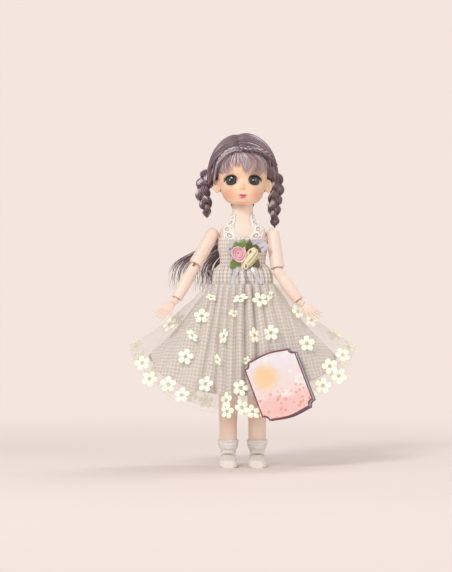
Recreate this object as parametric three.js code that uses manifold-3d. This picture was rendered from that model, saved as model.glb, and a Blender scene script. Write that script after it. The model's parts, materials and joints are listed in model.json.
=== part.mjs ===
// A jointed fashion doll about 30 cm tall, standing in a gathered dress with braided hair.
// Millimetres, +Z up. The doll faces -Y, its left hand is on +X, and the floor under its shoes is z = 0.
import * as THREE from "three";
import { mergeVertices } from "three/addons/utils/BufferGeometryUtils.js";
import Module from "manifold-3d";

const wasm = await Module();
wasm.setup();

// Gaps and walls
const clearance = 0.3;
const cupGap = 0.6;
const overrun = 4;
const shellWall = 1.8;

// Heights, added up from the floor to the crown
const ankleHeight = 19;
const shinLength = 63;
const thighLength = 64;
const waistRise = 17;
const shoulderRise = 62.5;
const neckTopRise = 89.5;
const headLift = 8.5;
const headPivotRise = neckTopRise + headLift;
const hipHeight = ankleHeight + shinLength + thighLength;

// Torso
const chestHalfWidth = 20.6;
const chestHalfDepth = 13.4;
const torsoPower = 2.3;
const torsoSides = 20;
const hollowFloorRise = 15;
const hollowRoofRise = 69;
const shoulderSpread = 27.3;
const hipSpread = 13;
const legCutHalfWidth = 9.9;
const legForwardLimit = 85;
const legBackLimit = 20;
const legSpreadLimit = 35;
// Directions of a peg, in degrees from straight up
const straightDown = 180;
const sideways = 90;

// Height, half width and half depth, as shares of the neck's height and of the chest's own half sizes
const torsoShares = [
  [-0.09, 0.24, 0.52],
  [-0.056, 0.73, 0.86],
  [0, 1.04, 1.045],
  [0.067, 1.08, 1.09],
  [0.19, 1.03, 1.0],
  [0.335, 0.95, 0.88],
  [0.413, 0.94, 0.89],
  [0.514, 0.97, 0.985],
  [0.626, 0.99, 1.0],
  [0.704, 1.0, 0.925],
  [0.76, 0.94, 0.81],
  [0.793, 0.78, 0.73],
  [0.827, 0.6, 0.7],
  [0.88, 0.475, 0.687],
  [1, 0.447, 0.687],
];

// Each joint: ball end of the outer limb, disc and tongue inside it, and the peg in the inner limb.
// The inner limb's rim stands rimLift nearer to its own root than the pivot does.
const shoulder = { dome: 5.8, disc: 3.4, tongue: 2.4, neck: 2.8, peg: 2.2, pegLength: 9, rimLift: 0 };
const elbow = { dome: 5.0, disc: 2.9, tongue: 2.2, neck: 2.6, peg: 2.0, pegLength: 7, rimLift: 4 };
const wrist = { dome: 3.4, disc: 2.0, tongue: 1.6, neck: 1.8, peg: 1.4, pegLength: 5, rimLift: 2.2 };
const hip = { dome: 9.0, disc: 5.0, tongue: 3.2, neck: 4.4, peg: 2.8, pegLength: 2.6, rimLift: 0 };
const knee = { dome: 8.0, disc: 4.6, tongue: 3.2, neck: 4.0, peg: 3.0, pegLength: 8, rimLift: 6.5 };
const ankle = { dome: 5.6, disc: 3.2, tongue: 2.4, neck: 2.8, peg: 2.2, pegLength: 6, rimLift: 3 };
const elbowLimit = 70;
const wristLimit = 55;
const kneeLimit = 70;
const ankleLimit = 25;

// Limbs
const upperArmLength = 36;
const forearmLength = 34;
const handLength = 23;
const upperArmRadius = 6.3;
const forearmRadius = 5.8;
const thighRadius = 10.6;
const shinRadius = 8.6;
const rimRound = 0.6;
// Distance down the limb and radius, as shares of the limb's length to its rim and of its full radius
const upperArmShares = [
  [0.22, 0.97],
  [0.45, 1.0],
  [0.75, 0.96],
  [0.9, 1.0],
];
const forearmShares = [
  [0.2, 0.86],
  [0.42, 1.0],
  [0.7, 0.93],
  [0.88, 0.88],
];
const thighShares = [
  [0.14, 0.85],
  [0.45, 1.0],
  [0.75, 0.93],
  [0.92, 0.87],
];
const shinShares = [
  [0.14, 0.93],
  [0.3, 1.0],
  [0.5, 1.0],
  [0.75, 0.92],
];
const upperArmRim = 6.3;
const forearmRim = 5.2;
const thighRim = 9.2;
const shinRim = 8;

// The pose at rest, in degrees: both arms come a little forward, over the skirt
const armForward = 16;
const splay = { right: 28, left: 7 };
const splayMost = 80;
const splayLeast = 5;
const elbowBend = { right: 0, left: 28 };
const wristBend = 18;

// Hand and foot
const palmHalfWidth = 4.6;
const palmHalfThickness = 2.2;
const fingerRadius = 1.25;
const fingerSpacing = 2.35;
const fingerTipShare = 0.72;
const thumbRadius = 1.45;
const thumbLength = 8.5;
// Shares of the hand's length, of the palm's half width and of the spacing between the fingers
const palmShare = 0.62;
const fingerRootShare = 0.5;
const thumbRootShare = 0.24;
const thumbAcrossShare = 0.5;
const fingerRootGather = 0.8;
const fingerTipFan = 1.2;
const thumbSlant = 0.55;
const footLength = 37;
const heelBack = 10;
const footHalfWidth = 6.6;
const footTopRise = 11;
// Share of the length from the heel, of the half width, and of the height of the instep
const footShares = [
  [0, 0.5, 0.7],
  [0.05, 0.78, 0.9],
  [0.2, 0.9, 1.0],
  [0.42, 0.86, 1.0],
  [0.62, 0.97, 0.76],
  [0.8, 1.0, 0.6],
  [0.93, 0.82, 0.52],
  [1, 0.45, 0.4],
];
// Across one slice of the foot, as shares of its half width and height
const footSliceShares = [
  [0.82, 0],
  [1.0, 0.2],
  [0.98, 0.5],
  [0.76, 0.84],
  [0.36, 1],
  [-0.36, 1],
  [-0.76, 0.84],
  [-0.98, 0.5],
  [-1.0, 0.2],
  [-0.82, 0],
];
const shoeWall = 1.5;
const soleThickness = 1.8;
const shoeMouthRise = 10.5;
const sockTopRise = 23.6;
const sockNeckHeight = 3;
const sockWall = 0.9;
const footColumnShares = [0.7, 1, 1.08, 1.12];

// Head, measured from the ball that it turns on
const faceHalfWidth = 22;
const headHalfDepth = 23.4;
const chinDrop = 9.5;
const skullRise = 48;
const headCapY = 6;
const neckBall = 6;
const socketRadius = 8.2;
const neckPostRadius = 2.8;
const neckPostDepth = 11.5;
const neckPostLength = headLift + neckPostDepth;
const socketMouthRadius = 5.2;
const headOpeningRadius = 12.2;
const headFloorRise = 1;
const headFloorThickness = 3;
const eyeSpread = 10.4;
const eyeRise = 13;
const eyeRadius = 6;
const eyeCentreY = -11.9;
const eyeOpeningHalfWidth = 5.3;
const eyeOpeningHalfHeight = 4.3;
const earRadii = [3, 2.2, 6.2];
const earSpread = 23.4;
const earRise = 8.6;
const earY = 1.5;
// Height from chin to crown, half width, front and back, as shares of the head's own sizes
const headShares = [
  [0, 0.26, -0.72, -0.4],
  [0.03, 0.52, -0.85, 0.1],
  [0.1, 0.74, -0.92, 0.58],
  [0.185, 0.855, -0.95, 0.8],
  [0.3, 0.94, -0.94, 0.95],
  [0.5, 1.02, -0.9, 1.07],
  [0.69, 0.99, -0.87, 1.05],
  [0.83, 0.86, -0.74, 0.92],
  [0.93, 0.6, -0.48, 0.66],
  [0.985, 0.3, -0.2, 0.36],
];

// Hair: the wig is an ellipsoid over the skull, open at the face
const wigRadii = [31.5, 27.5, 37.7];
const wigCentreY = 2.5;
const wigCentreRise = 18;
const hairlineTopRise = 43.4;
const hairlineTopY = -18;
const hairlineSideRise = 12;
const hairlineSideY = -3;
const wigBehindEarY = 6;
const wigNapeRise = -5;
const wigSideRise = 15.5;
const bangsThickness = 2.2;
const bangsLift = 0.4;
const bangsLowRise = 17.5;
const bangsHalfWidth = 20.5;
const crownBraidRadius = 2.2;
// Along the hairline, as shares of the wig's half width and half height
const crownBraidShares = [
  [-0.78, -0.08],
  [-0.75, 0.2],
  [-0.64, 0.42],
  [-0.44, 0.61],
  [-0.18, 0.67],
  [0.26, 0.63],
  [0.61, 0.56],
  [0.88, 0.41],
];
const braidRadius = 6.8;
const braidSpread = { right: 33.5, left: 29 };
const braidDrop = { right: 40, left: 49 };
const braidTopRise = 19;
const braidTopY = 7;
const braidEndY = 18;
// Share of the drop, sideways share of the spread, share of the way back, and share of the radius
const braidShares = [
  [0, 0.96, 0, 0.8],
  [0.2, 1.04, 0.25, 1.0],
  [0.45, 1.06, 0.55, 1.0],
  [0.7, 1.0, 0.85, 0.92],
  [0.82, 0.98, 0.95, 0.62],
  [0.9, 0.99, 1, 0.72],
  [1, 1.0, 1, 0.4],
];
const tieShare = 0.82;
const tieWidth = 2.2;
const tieThickness = 1;
const backHairThickness = 7;
const backHairLength = 88;
const backHairTopY = 18;
const backHairEndY = 28;
const backHairHalfWidth = 47;
// Share of the length, of the half width, of the way back, and sideways share of the half width
const backHairShares = [
  [0, 0.26, 0, 0],
  [0.09, 0.2, 0.05, 0],
  [0.22, 0.21, 0.2, 0],
  [0.34, 0.36, 0.3, -0.02],
  [0.46, 0.6, 0.36, -0.14],
  [0.66, 0.94, 0.5, -0.46],
  [0.88, 1.0, 0.9, -0.52],
  [1, 0.76, 1, -0.6],
];

// Clothes, heights measured from the hip line
const clothThickness = 0.9;
const bodiceTopRise = 59.6;
const bodiceHemRise = 18.5;
const basqueFlare = 6.4;
// Share of the bodice's height from its hem, and share of the basque's flare
const bodiceShares = [
  [0, 1],
  [0.14, 0.6],
  [0.28, 0.22],
  [0.45, 0],
  [0.67, 0],
  [0.91, 0],
  [1, 0],
];
const foldCount = 12;
const skirtTopRise = 19;
const lining = {
  waistGap: 0.5,
  halfWidth: 84,
  halfDepth: 38,
  sideHemDrop: 62,
  frontHemDrop: 100,
  folds: 3.4,
};
// How much further than the lining the net stands out, and how much lower it hangs
const netOver = {
  waistGap: 1.6,
  halfWidth: 17,
  halfDepth: 8,
  sideHemRise: 10,
  frontHemDrop: 17,
  folds: 1,
};
const tulle = {
  waistGap: lining.waistGap + netOver.waistGap,
  halfWidth: lining.halfWidth + netOver.halfWidth,
  halfDepth: lining.halfDepth + netOver.halfDepth,
  sideHemDrop: lining.sideHemDrop - netOver.sideHemRise,
  frontHemDrop: lining.frontHemDrop + netOver.frontHemDrop,
  folds: lining.folds + netOver.folds,
};
const skirtBulge = 0.3;
const skirtSideSoftening = 0.004;
const skirtNormalStep = 0.01;
const skirtLevels = 3;
const strapTopRise = 80;
// Degrees round the body from its side to its front, at the bodice and at the neck
const strapInnerDegrees = [86, 52];
const strapOuterDegrees = [38, 22];
const strapThickness = 0.7;

// Corsage, seated on the front of the bodice in three layers
const corsageRise = 44;
const corsageX = 1;
const bowThickness = 1.2;
const leafThickness = 0.9;
const roseDepth = 6;
const rosePinkRadius = 7;
const roseCreamRadii = [7.4, 10.2];
const rosePinkAt = [-4.2, 1.2];
const roseCreamAt = [7.2, -4.6];
const leafLength = 11;
const leafHalfWidth = 4.6;
// Angle in degrees of each leaf from +X, and how far its foot lies from the middle, as a share of its length
const leafAngles = [108, 68, 215, 292];
const leafRootShare = 0.25;
const bowLoopLength = 13;
const bowLoopHalfWidth = 3.6;
const bowTailLength = 27;
const bowTailHalfWidth = 2;
const bowLoopAngles = [150, 118, 38];
const bowTailAngles = [252, 300];
const bowRootShare = 0.1;
// Where a petal is broadest, as a share of its length, and how far its curve is pulled out there
const petalBroadShare = 0.35;
const petalFullness = 1.9;

// Folded paper tag, hung in front of the skirt
const tagWidth = 48;
const tagHeight = 56;
const tagThickness = 0.5;
const tagNotch = 4.5;
const tagCentreX = 31.5;
const tagCentreHeight = 75;
// How far the tag's middle stands in front of the net
const tagStandOff = 11.85;
const tagTurn = 20;
const tagLean = 14;
const tagLeafGap = 0.5;
const tagTackRadius = 0.6;
const tagTackRise = 20;

const material = (color, roughness, metalness = 0) =>
  new THREE.MeshStandardMaterial({ color, roughness, metalness });
const skinPlastic = material("#f3d5c6", 0.5);
const faceVinyl = material("#f7cba8", 0.55);
const pegPlastic = material("#ead0c2", 0.45);
const eyeGlass = material("#2e3336", 0.1);
const hairFibre = material("#8a6f78", 0.45);
const hairPale = material("#a88f99", 0.45);
const tieRubber = material("#5d4a50", 0.6);
const gingham = material("#d9cfc6", 0.9);
const tulleNet = material("#ece6dd", 0.8);
const laceCotton = material("#f1ece4", 0.9);
const satinPink = material("#e59fb0", 0.5);
const satinCream = material("#f1e3b4", 0.5);
const satinGreen = material("#6d8a3f", 0.5);
const silverRibbon = material("#c3c2cf", 0.3, 0.6);
const sockCotton = material("#f6f3ef", 0.9);
const shoeVinyl = material("#f2ece4", 0.4);
const tagCard = material("#ecd2cc", 0.7);
const tagCardBack = material("#8f9aa8", 0.7);
const tackNylon = material("#e8e8ea", 0.4);

const radians = THREE.MathUtils.degToRad;
const vector = (x, y, z) => new THREE.Vector3(x, y, z);

// Whether the triangles' corners run anticlockwise when seen from outside.
function facesOut(points, corners) {
  let sum = 0;
  const at = (i) => vector(points[3 * i], points[3 * i + 1], points[3 * i + 2]);
  for (let i = 0; i < corners.length; i += 3) {
    sum += at(corners[i]).dot(at(corners[i + 1]).cross(at(corners[i + 2])));
  }
  return sum > 0;
}

// A closed geometry as a solid, its faces turned outwards whichever way it was drawn.
function solid(geometry) {
  const bare = new THREE.BufferGeometry();
  bare.setAttribute("position", geometry.getAttribute("position"));
  bare.setIndex(geometry.index);
  const merged = mergeVertices(bare);
  const points = new Float32Array(merged.attributes.position.array);
  const drawn = merged.index.array;
  const corners = [];
  for (let i = 0; i < drawn.length; i += 3) {
    const [a, b, c] = [drawn[i], drawn[i + 1], drawn[i + 2]];
    if (a !== b && b !== c && a !== c) corners.push(a, b, c);
  }
  if (!facesOut(points, corners)) corners.reverse();
  const settings = { numProp: 3, vertProperties: points, triVerts: new Uint32Array(corners) };
  return new wasm.Manifold(new wasm.Mesh(settings));
}

function geometryOf(body) {
  const mesh = body.getMesh();
  const geometry = new THREE.BufferGeometry();
  geometry.setAttribute("position", new THREE.BufferAttribute(mesh.vertProperties, mesh.numProp));
  geometry.setIndex(new THREE.BufferAttribute(mesh.triVerts, 1));
  geometry.computeVertexNormals();
  return geometry;
}

// A solid carried by a matrix.
const moved = (body, matrix) => solid(geometryOf(body).applyMatrix4(matrix));
const shift = (x, y, z) => new THREE.Matrix4().makeTranslation(x, y, z);
const joined = (...bodies) => bodies.reduce((a, b) => a.add(b));
const cut = (body, ...tools) => tools.reduce((a, b) => a.subtract(b), body);

function ball(radius, centre, sides = 16) {
  return solid(new THREE.SphereGeometry(radius, sides, sides / 2).translate(...centre));
}

function egg(radii, centre, sides = 16) {
  return solid(new THREE.SphereGeometry(1, sides, sides / 2).scale(...radii).translate(...centre));
}

// A straight round bar between two points.
function rod(radius, from, to, sides = 12) {
  const way = to.clone().sub(from);
  const turn = new THREE.Quaternion().setFromUnitVectors(vector(0, 1, 0), way.clone().normalize());
  const middle = from.clone().add(to).multiplyScalar(0.5);
  const geometry = new THREE.CylinderGeometry(radius, radius, way.length(), sides);
  return solid(geometry.applyQuaternion(turn).translate(middle.x, middle.y, middle.z));
}

function block(low, high) {
  const size = high.clone().sub(low);
  const middle = low.clone().add(high).multiplyScalar(0.5);
  return solid(new THREE.BoxGeometry(size.x, size.y, size.z).translate(middle.x, middle.y, middle.z));
}

// A solid of revolution about Z, from a profile of radius and height.
function turned(profile, sides) {
  const points = profile.map(([radius, z]) => new THREE.Vector2(radius, z));
  return solid(new THREE.LatheGeometry(points, sides).rotateX(Math.PI / 2));
}

// Faces between successive rings of points. Looped rings close on the first, others get a cap at each end.
function skin(rings, looped = false) {
  const count = rings[0].length;
  const points = rings.flat();
  const faces = [];
  const last = looped ? rings.length : rings.length - 1;
  for (let i = 0; i < last; i++) {
    const [here, next] = [i * count, ((i + 1) % rings.length) * count];
    for (let j = 0; j < count; j++) {
      const k = (j + 1) % count;
      faces.push(here + j, here + k, next + k, here + j, next + k, next + j);
    }
  }
  if (!looped) {
    const middle = (ring) => ring.reduce((sum, p) => sum.add(p), vector(0, 0, 0)).divideScalar(count);
    const [low, high] = [points.length, points.length + 1];
    points.push(middle(rings[0]), middle(rings[rings.length - 1]));
    const start = (rings.length - 1) * count;
    for (let j = 0; j < count; j++) {
      const k = (j + 1) % count;
      faces.push(low, k, j, high, start + j, start + k);
    }
  }
  const geometry = new THREE.BufferGeometry().setFromPoints(points);
  geometry.setIndex(faces);
  return solid(geometry);
}

// A level ring, rounder or squarer by its power.
function oval(halfWidth, halfDepth, centreX, centreY, z, sides, power = 2) {
  return Array.from({ length: sides }, (_, i) => {
    const angle = (2 * Math.PI * i) / sides;
    const rounded = (v) => Math.sign(v) * Math.abs(v) ** (2 / power);
    const x = centreX + halfWidth * rounded(Math.cos(angle));
    return vector(x, centreY + halfDepth * rounded(Math.sin(angle)), z);
  });
}

// A round hose through points, each with a radius.
function hose(points, radii, sides) {
  const pole = vector(0, 0, points[points.length - 1].z < points[0].z ? -1 : 1);
  const rings = points.map((point, i) => {
    const before = points[Math.max(i - 1, 0)];
    const after = points[Math.min(i + 1, points.length - 1)];
    const way = after.clone().sub(before).normalize();
    const turn = new THREE.Quaternion().setFromUnitVectors(pole, way);
    return oval(radii[i], radii[i], 0, 0, 0, sides).map((p) => p.applyQuaternion(turn).add(point));
  });
  return skin(rings);
}

// A flat slab standing across X: angles run from +Z towards -Y, and each end is as wide as a limb there.
function sector(reach, halfWidth, from, to, thickness) {
  const shape = new THREE.Shape();
  const at = (angle, along, aside) =>
    new THREE.Vector2(
      along * Math.sin(angle) + aside * Math.cos(angle),
      along * Math.cos(angle) - aside * Math.sin(angle),
    );
  const steps = 6;
  const points = [at(radians(from), 0, -halfWidth), at(radians(from), reach, -halfWidth)];
  for (let i = 0; i <= steps; i++) points.push(at(radians(from + ((to - from) * i) / steps), reach, 0));
  points.push(at(radians(to), reach, halfWidth), at(radians(to), 0, halfWidth));
  shape.setFromPoints(points);
  const geometry = new THREE.ExtrudeGeometry(shape, { depth: thickness, bevelEnabled: false });
  geometry.translate(0, 0, -thickness / 2);
  const basis = new THREE.Matrix4().makeBasis(vector(0, -1, 0), vector(0, 0, 1), vector(-1, 0, 0));
  return geometry.applyMatrix4(basis);
}

// The disc, tongue and peg that join two limbs: the disc sits in the outer limb, the peg points up.
function pegPiece(joint) {
  const half = joint.tongue / 2;
  const pegStart = joint.dome + 2 * clearance;
  const disc = rod(joint.disc, vector(-half, 0, 0), vector(half, 0, 0), 10);
  const tongue = block(
    vector(-half, -joint.neck / 2, 0),
    vector(half, joint.neck / 2, pegStart + clearance),
  );
  const peg = rod(joint.peg, vector(0, 0, pegStart), vector(0, 0, pegStart + joint.pegLength), 10);
  return joined(disc, tongue, peg);
}

// The room that a peg's disc and tongue need in the outer limb, over the angles that the tongue takes.
function pegSlot(joint, from, to) {
  const width = joint.tongue + 2 * clearance;
  const pocket = rod(joint.disc + clearance, vector(-width / 2, 0, 0), vector(width / 2, 0, 0));
  const reach = joint.dome + overrun;
  return joined(pocket, solid(sector(reach, joint.neck / 2 + clearance, from, to, width)));
}

// Shoulder and hip pegs lie level, their pegs towards the middle of the body and their discs across Y.
const inwards = (side) =>
  new THREE.Matrix4().makeBasis(vector(0, 1, 0), vector(0, 0, -side), vector(-side, 0, 0));
const slotInwards = (side) => new THREE.Matrix4().makeRotationZ(-side * radians(sideways));

// The cup and bore at the end of the inner limb, for the next joint at the given distance.
function pegSeat(joint, distance) {
  const depth = joint.dome + 3 * clearance + joint.pegLength;
  return joined(
    ball(joint.dome + cupGap, [0, 0, -distance], 14),
    rod(joint.peg + clearance, vector(0, 0, -distance), vector(0, 0, depth - distance)),
  );
}

// A limb hanging from its own pivot: a ball end above, a full body, and a square rim below.
function limb(joint, shares, radius, length, rimRadius, next, slot, sides) {
  const bodyLength = length - next.rimLift;
  const domeSteps = 3;
  const profile = [];
  for (let i = 0; i <= domeSteps; i++) {
    const angle = (Math.PI / 2) * (1 - i / domeSteps);
    profile.push([joint.dome * Math.cos(angle), joint.dome * Math.sin(angle)]);
  }
  profile[0][0] = 0;
  for (const [along, share] of shares) profile.push([radius * share, -bodyLength * along]);
  profile.push([rimRadius, -bodyLength + rimRound], [rimRadius - rimRound, -bodyLength], [0, -bodyLength]);
  return cut(turned(profile, sides), slot, pegSeat(next, length));
}

const group = (parent, x = 0, y = 0, z = 0) => {
  const made = new THREE.Group();
  made.position.set(x, y, z);
  parent.add(made);
  return made;
};

function add(parent, name, body, finish) {
  const mesh = new THREE.Mesh(geometryOf(body), finish);
  mesh.name = name;
  parent.add(mesh);
  return mesh;
}

const doll = new THREE.Group();
const torso = group(doll, 0, 0, hipHeight);
const head = group(torso, 0, 0, headPivotRise);

// The sizes between two rows of a table whose first column is a rising share.
function readTable(rows, share) {
  const found = rows.findIndex((row) => row[0] >= share);
  const next = found < 0 ? rows.length - 1 : Math.max(1, found);
  const [low, high] = [rows[next - 1], rows[next]];
  const part = THREE.MathUtils.clamp((share - low[0]) / (high[0] - low[0]), 0, 1);
  return low.slice(1).map((value, i) => THREE.MathUtils.lerp(value, high[i + 1], part));
}

// Torso: two glued shells with the neck moulded on, solid at the hips and hollow above
function torsoSizeAt(z) {
  const [width, depth] = readTable(torsoShares, z / neckTopRise);
  return [chestHalfWidth * width, chestHalfDepth * depth];
}

function torsoRing(z, grow) {
  const [halfWidth, halfDepth] = torsoSizeAt(z);
  return oval(halfWidth + grow, halfDepth + grow, 0, 0, z, torsoSides, torsoPower);
}

function buildTorso() {
  const outer = skin(torsoShares.map(([share]) => torsoRing(share * neckTopRise, 0)));
  const hollowRises = torsoShares
    .map(([share]) => share * neckTopRise)
    .filter((z) => z > hollowFloorRise && z < hollowRoofRise);
  const levels = [hollowFloorRise, ...hollowRises.filter((_, i) => i % 2), hollowRoofRise];
  const hollow = skin(levels.map((z) => torsoRing(z, -shellWall)));
  let body = cut(outer, hollow);
  for (const side of [-1, 1]) {
    const at = vector(side * shoulderSpread, 0, shoulderRise);
    const pegEnd = shoulderSpread - shoulder.dome - 2 * clearance - shoulder.pegLength;
    const inner = vector(side * pegEnd, 0, shoulderRise);
    const boss = rod(shoulder.peg + clearance + shellWall, inner, at);
    const bore = rod(shoulder.peg + clearance, vector(side * (pegEnd - overrun), 0, shoulderRise), at, 12);
    const socket = ball(shoulder.dome + clearance, at.toArray());
    body = cut(joined(body, boss.intersect(outer)), bore, socket);
    const hipAt = vector(side * hipSpread, 0, 0);
    const hipBore = rod(hip.peg + clearance, vector(0, 0, 0), hipAt, 12);
    const swept = sector(
      chestHalfWidth + overrun,
      legCutHalfWidth,
      straightDown - legForwardLimit,
      straightDown + legBackLimit,
      2 * legCutHalfWidth,
    ).translate(hipAt.x, 0, 0);
    body = cut(body, ball(hip.dome + clearance, hipAt.toArray(), 20), hipBore, solid(swept));
  }
  const postFloor = headPivotRise - neckPostLength - clearance;
  const postBore = rod(neckPostRadius + clearance, vector(0, 0, postFloor), vector(0, 0, headPivotRise));
  body = cut(body, postBore);
  const far = chestHalfWidth + neckTopRise;
  const front = block(vector(-far, -far, -far), vector(far, -clearance / 2, far));
  const back = block(vector(-far, clearance / 2, -far), vector(far, far, far));
  add(torso, "torso_front", body.intersect(front), skinPlastic);
  add(torso, "torso_back", body.intersect(back), skinPlastic);
}

// Head: face shell and back cap on a floor plate, turning on a ball and socket
const headHeight = chinDrop + skullRise;
const headMiddleRise = skullRise - headHeight / 2;

function headSolid(grow, sides = 18) {
  const rings = headShares.map(([share, width, front, back]) => {
    const halfDepth = (headHalfDepth * (back - front)) / 2;
    const centreY = (headHalfDepth * (back + front)) / 2;
    const z = -chinDrop + share * headHeight;
    return oval(faceHalfWidth * width, halfDepth, 0, centreY, z, sides);
  });
  const widen = vector(1 + grow / faceHalfWidth, 1 + grow / headHalfDepth, 1 + (2 * grow) / headHeight);
  for (const point of rings.flat()) {
    point.z -= headMiddleRise;
    point.multiply(widen);
    point.z += headMiddleRise;
  }
  return skin(rings);
}

const skull = headSolid(0);
const skullHollow = headSolid(-shellWall, 12);
const skullClear = headSolid(clearance + clearance / 2);

function buildHead() {
  const floorTop = headFloorRise + headFloorThickness;
  const far = headHeight;
  const slab = block(vector(-far, -far, headFloorRise), vector(far, far, floorTop));
  const socketRoom = ball(socketRadius + cupGap, [0, 0, 0], 14);
  const opening = rod(
    headOpeningRadius,
    vector(0, 0, -chinDrop - overrun),
    vector(0, 0, headFloorRise - shellWall),
    24,
  );
  let shell = joined(cut(skull, skullHollow), slab.intersect(skull));
  shell = cut(shell, socketRoom, opening);
  const ears = [-1, 1].map((side) => egg(earRadii, [side * earSpread, earY, earRise], 8));
  const eyeHoles = [-1, 1].map((side) => {
    const hole = new THREE.CylinderGeometry(1, 1, headHalfDepth, 14);
    hole.scale(eyeOpeningHalfWidth, 1, eyeOpeningHalfHeight);
    return solid(hole.translate(side * eyeSpread, eyeCentreY - headHalfDepth / 2, eyeRise));
  });
  const eyeRooms = [-1, 1].map((side) =>
    ball(eyeRadius + cupGap, [side * eyeSpread, eyeCentreY, eyeRise], 12),
  );
  const front = block(vector(-far, -far, -far), vector(far, headCapY - clearance / 2, far));
  const back = block(vector(-far, headCapY + clearance / 2, -far), vector(far, far, far));
  const face = joined(shell.intersect(front), ...ears.map((ear) => cut(ear, skullHollow)));
  add(head, "face", cut(face, ...eyeHoles, ...eyeRooms), faceVinyl);
  add(head, "head_cap", cut(shell, ...ears).intersect(back), faceVinyl);
  [
    ["right", -1],
    ["left", 1],
  ].forEach(([name, side]) =>
    add(head, `eye_${name}`, ball(eyeRadius, [side * eyeSpread, eyeCentreY, eyeRise], 12), eyeGlass),
  );
  const socketMouth = rod(socketMouthRadius, vector(0, 0, -socketRadius - overrun), vector(0, 0, 0));
  const socket = cut(
    ball(socketRadius, [0, 0, 0], 14),
    ball(neckBall + cupGap, [0, 0, 0], 14),
    socketMouth,
  );
  add(head, "head_socket", socket, pegPlastic);
  const post = rod(neckPostRadius, vector(0, 0, -neckPostLength), vector(0, 0, 0));
  add(head, "neck_peg", joined(ball(neckBall, [0, 0, 0], 14), post), pegPlastic);
}

// Hair
function wigSolid(grow) {
  const radii = wigRadii.map((radius) => radius + grow);
  return egg(radii, [0, wigCentreY, wigCentreRise], 18);
}

// Everything in front of the hairline, which leans back from the parting down to the temples.
function beforeHairline(gap) {
  const rise = hairlineTopRise - hairlineSideRise;
  const run = hairlineSideY - hairlineTopY;
  const lean = Math.atan2(run, rise);
  const size = 4 * wigRadii[2];
  const slab = new THREE.BoxGeometry(size, size, size);
  slab.translate(0, -size / 2 - gap, 0);
  slab.rotateX(lean);
  return solid(slab.translate(0, hairlineTopY, hairlineTopRise));
}

function onWig(widthShare, heightShare, lift) {
  const [rx, ry, rz] = wigRadii;
  const depth = Math.sqrt(Math.max(0, 1 - widthShare ** 2 - heightShare ** 2));
  const point = vector(rx * widthShare, -ry * depth, rz * heightShare);
  const outward = vector(point.x / rx ** 2, point.y / ry ** 2, point.z / rz ** 2).normalize();
  return point.add(outward.multiplyScalar(lift)).add(vector(0, wigCentreY, wigCentreRise));
}

function braidPath(side, spread, drop) {
  return braidShares.map(([down, aside, back]) =>
    vector(
      side * spread * aside,
      THREE.MathUtils.lerp(braidTopY, braidEndY, back),
      braidTopRise - drop * down,
    ),
  );
}

function buildHair() {
  const far = 2 * wigRadii[2];
  const lowFront = block(vector(-far, -far, -far), vector(far, wigBehindEarY, wigSideRise));
  const nape = block(vector(-far, -far, -far), vector(far, far, wigNapeRise));
  const wig = cut(wigSolid(0), skullClear, beforeHairline(0), lowFront, nape);
  add(head, "wig", wig, hairFibre);
  const bangsRegion = block(
    vector(-bangsHalfWidth, -far, bangsLowRise),
    vector(bangsHalfWidth, 0, hairlineTopRise - bangsLift),
  );
  const bangs = cut(headSolid(bangsLift + clearance + bangsThickness), headSolid(bangsLift + clearance));
  add(head, "bangs", bangs.intersect(bangsRegion).intersect(beforeHairline(clearance)), hairPale);
  const crownLift = crownBraidRadius + clearance;
  const crownPath = new THREE.CatmullRomCurve3(
    crownBraidShares.map(([across, up]) => onWig(across, up, crownLift)),
  ).getPoints(14);
  const crown = hose(
    crownPath,
    crownPath.map(() => crownBraidRadius),
    6,
  );
  add(head, "crown_braid", cut(crown, wigSolid(clearance), bangs), hairPale);
  [
    ["right", -1],
    ["left", 1],
  ].forEach(([name, side]) => {
    const path = braidPath(side, braidSpread[name], braidDrop[name]);
    const radii = braidShares.map((row) => braidRadius * row[3]);
    const curve = new THREE.CatmullRomCurve3(path);
    const count = 9;
    const points = curve.getPoints(count);
    const smooth = points.map((_, i) => {
      const at = (i / count) * (radii.length - 1);
      const low = Math.min(Math.floor(at), radii.length - 2);
      return THREE.MathUtils.lerp(radii[low], radii[low + 1], at - low);
    });
    const braid = hose(points, smooth, 8);
    const tieAt = curve.getPoint((braidShares.length - 3) / (braidShares.length - 1));
    const neckIn = braidRadius * braidShares[4][3];
    const ring = turned(
      [
        [neckIn, -tieWidth / 2],
        [neckIn + tieThickness, -tieWidth / 2],
        [neckIn + tieThickness, tieWidth / 2],
        [neckIn, tieWidth / 2],
        [neckIn, -tieWidth / 2],
      ],
      14,
    );
    const ringRoom = block(
      vector(-far, -far, tieAt.z - tieWidth / 2 - clearance),
      vector(far, far, tieAt.z + tieWidth / 2 + clearance),
    );
    const core = rod(
      neckIn - clearance,
      tieAt.clone().add(vector(0, 0, -tieWidth)),
      tieAt.clone().add(vector(0, 0, tieWidth)),
    );
    const seated = joined(cut(braid, ringRoom), core);
    add(head, `side_braid_${name}`, cut(seated, wigSolid(clearance), skullClear), hairFibre);
    add(head, `hair_tie_${name}`, ring, tieRubber).position.copy(tieAt);
  });
  const top = wigNapeRise - clearance;
  const rings = backHairShares.map(([down, width, back, aside]) =>
    oval(
      backHairHalfWidth * width,
      backHairThickness / 2,
      backHairHalfWidth * aside,
      THREE.MathUtils.lerp(backHairTopY, backHairEndY, back),
      top - backHairLength * down,
      16,
      3,
    ),
  );
  add(head, "back_hair", cut(skin(rings), skullClear), hairFibre);
}

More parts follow.
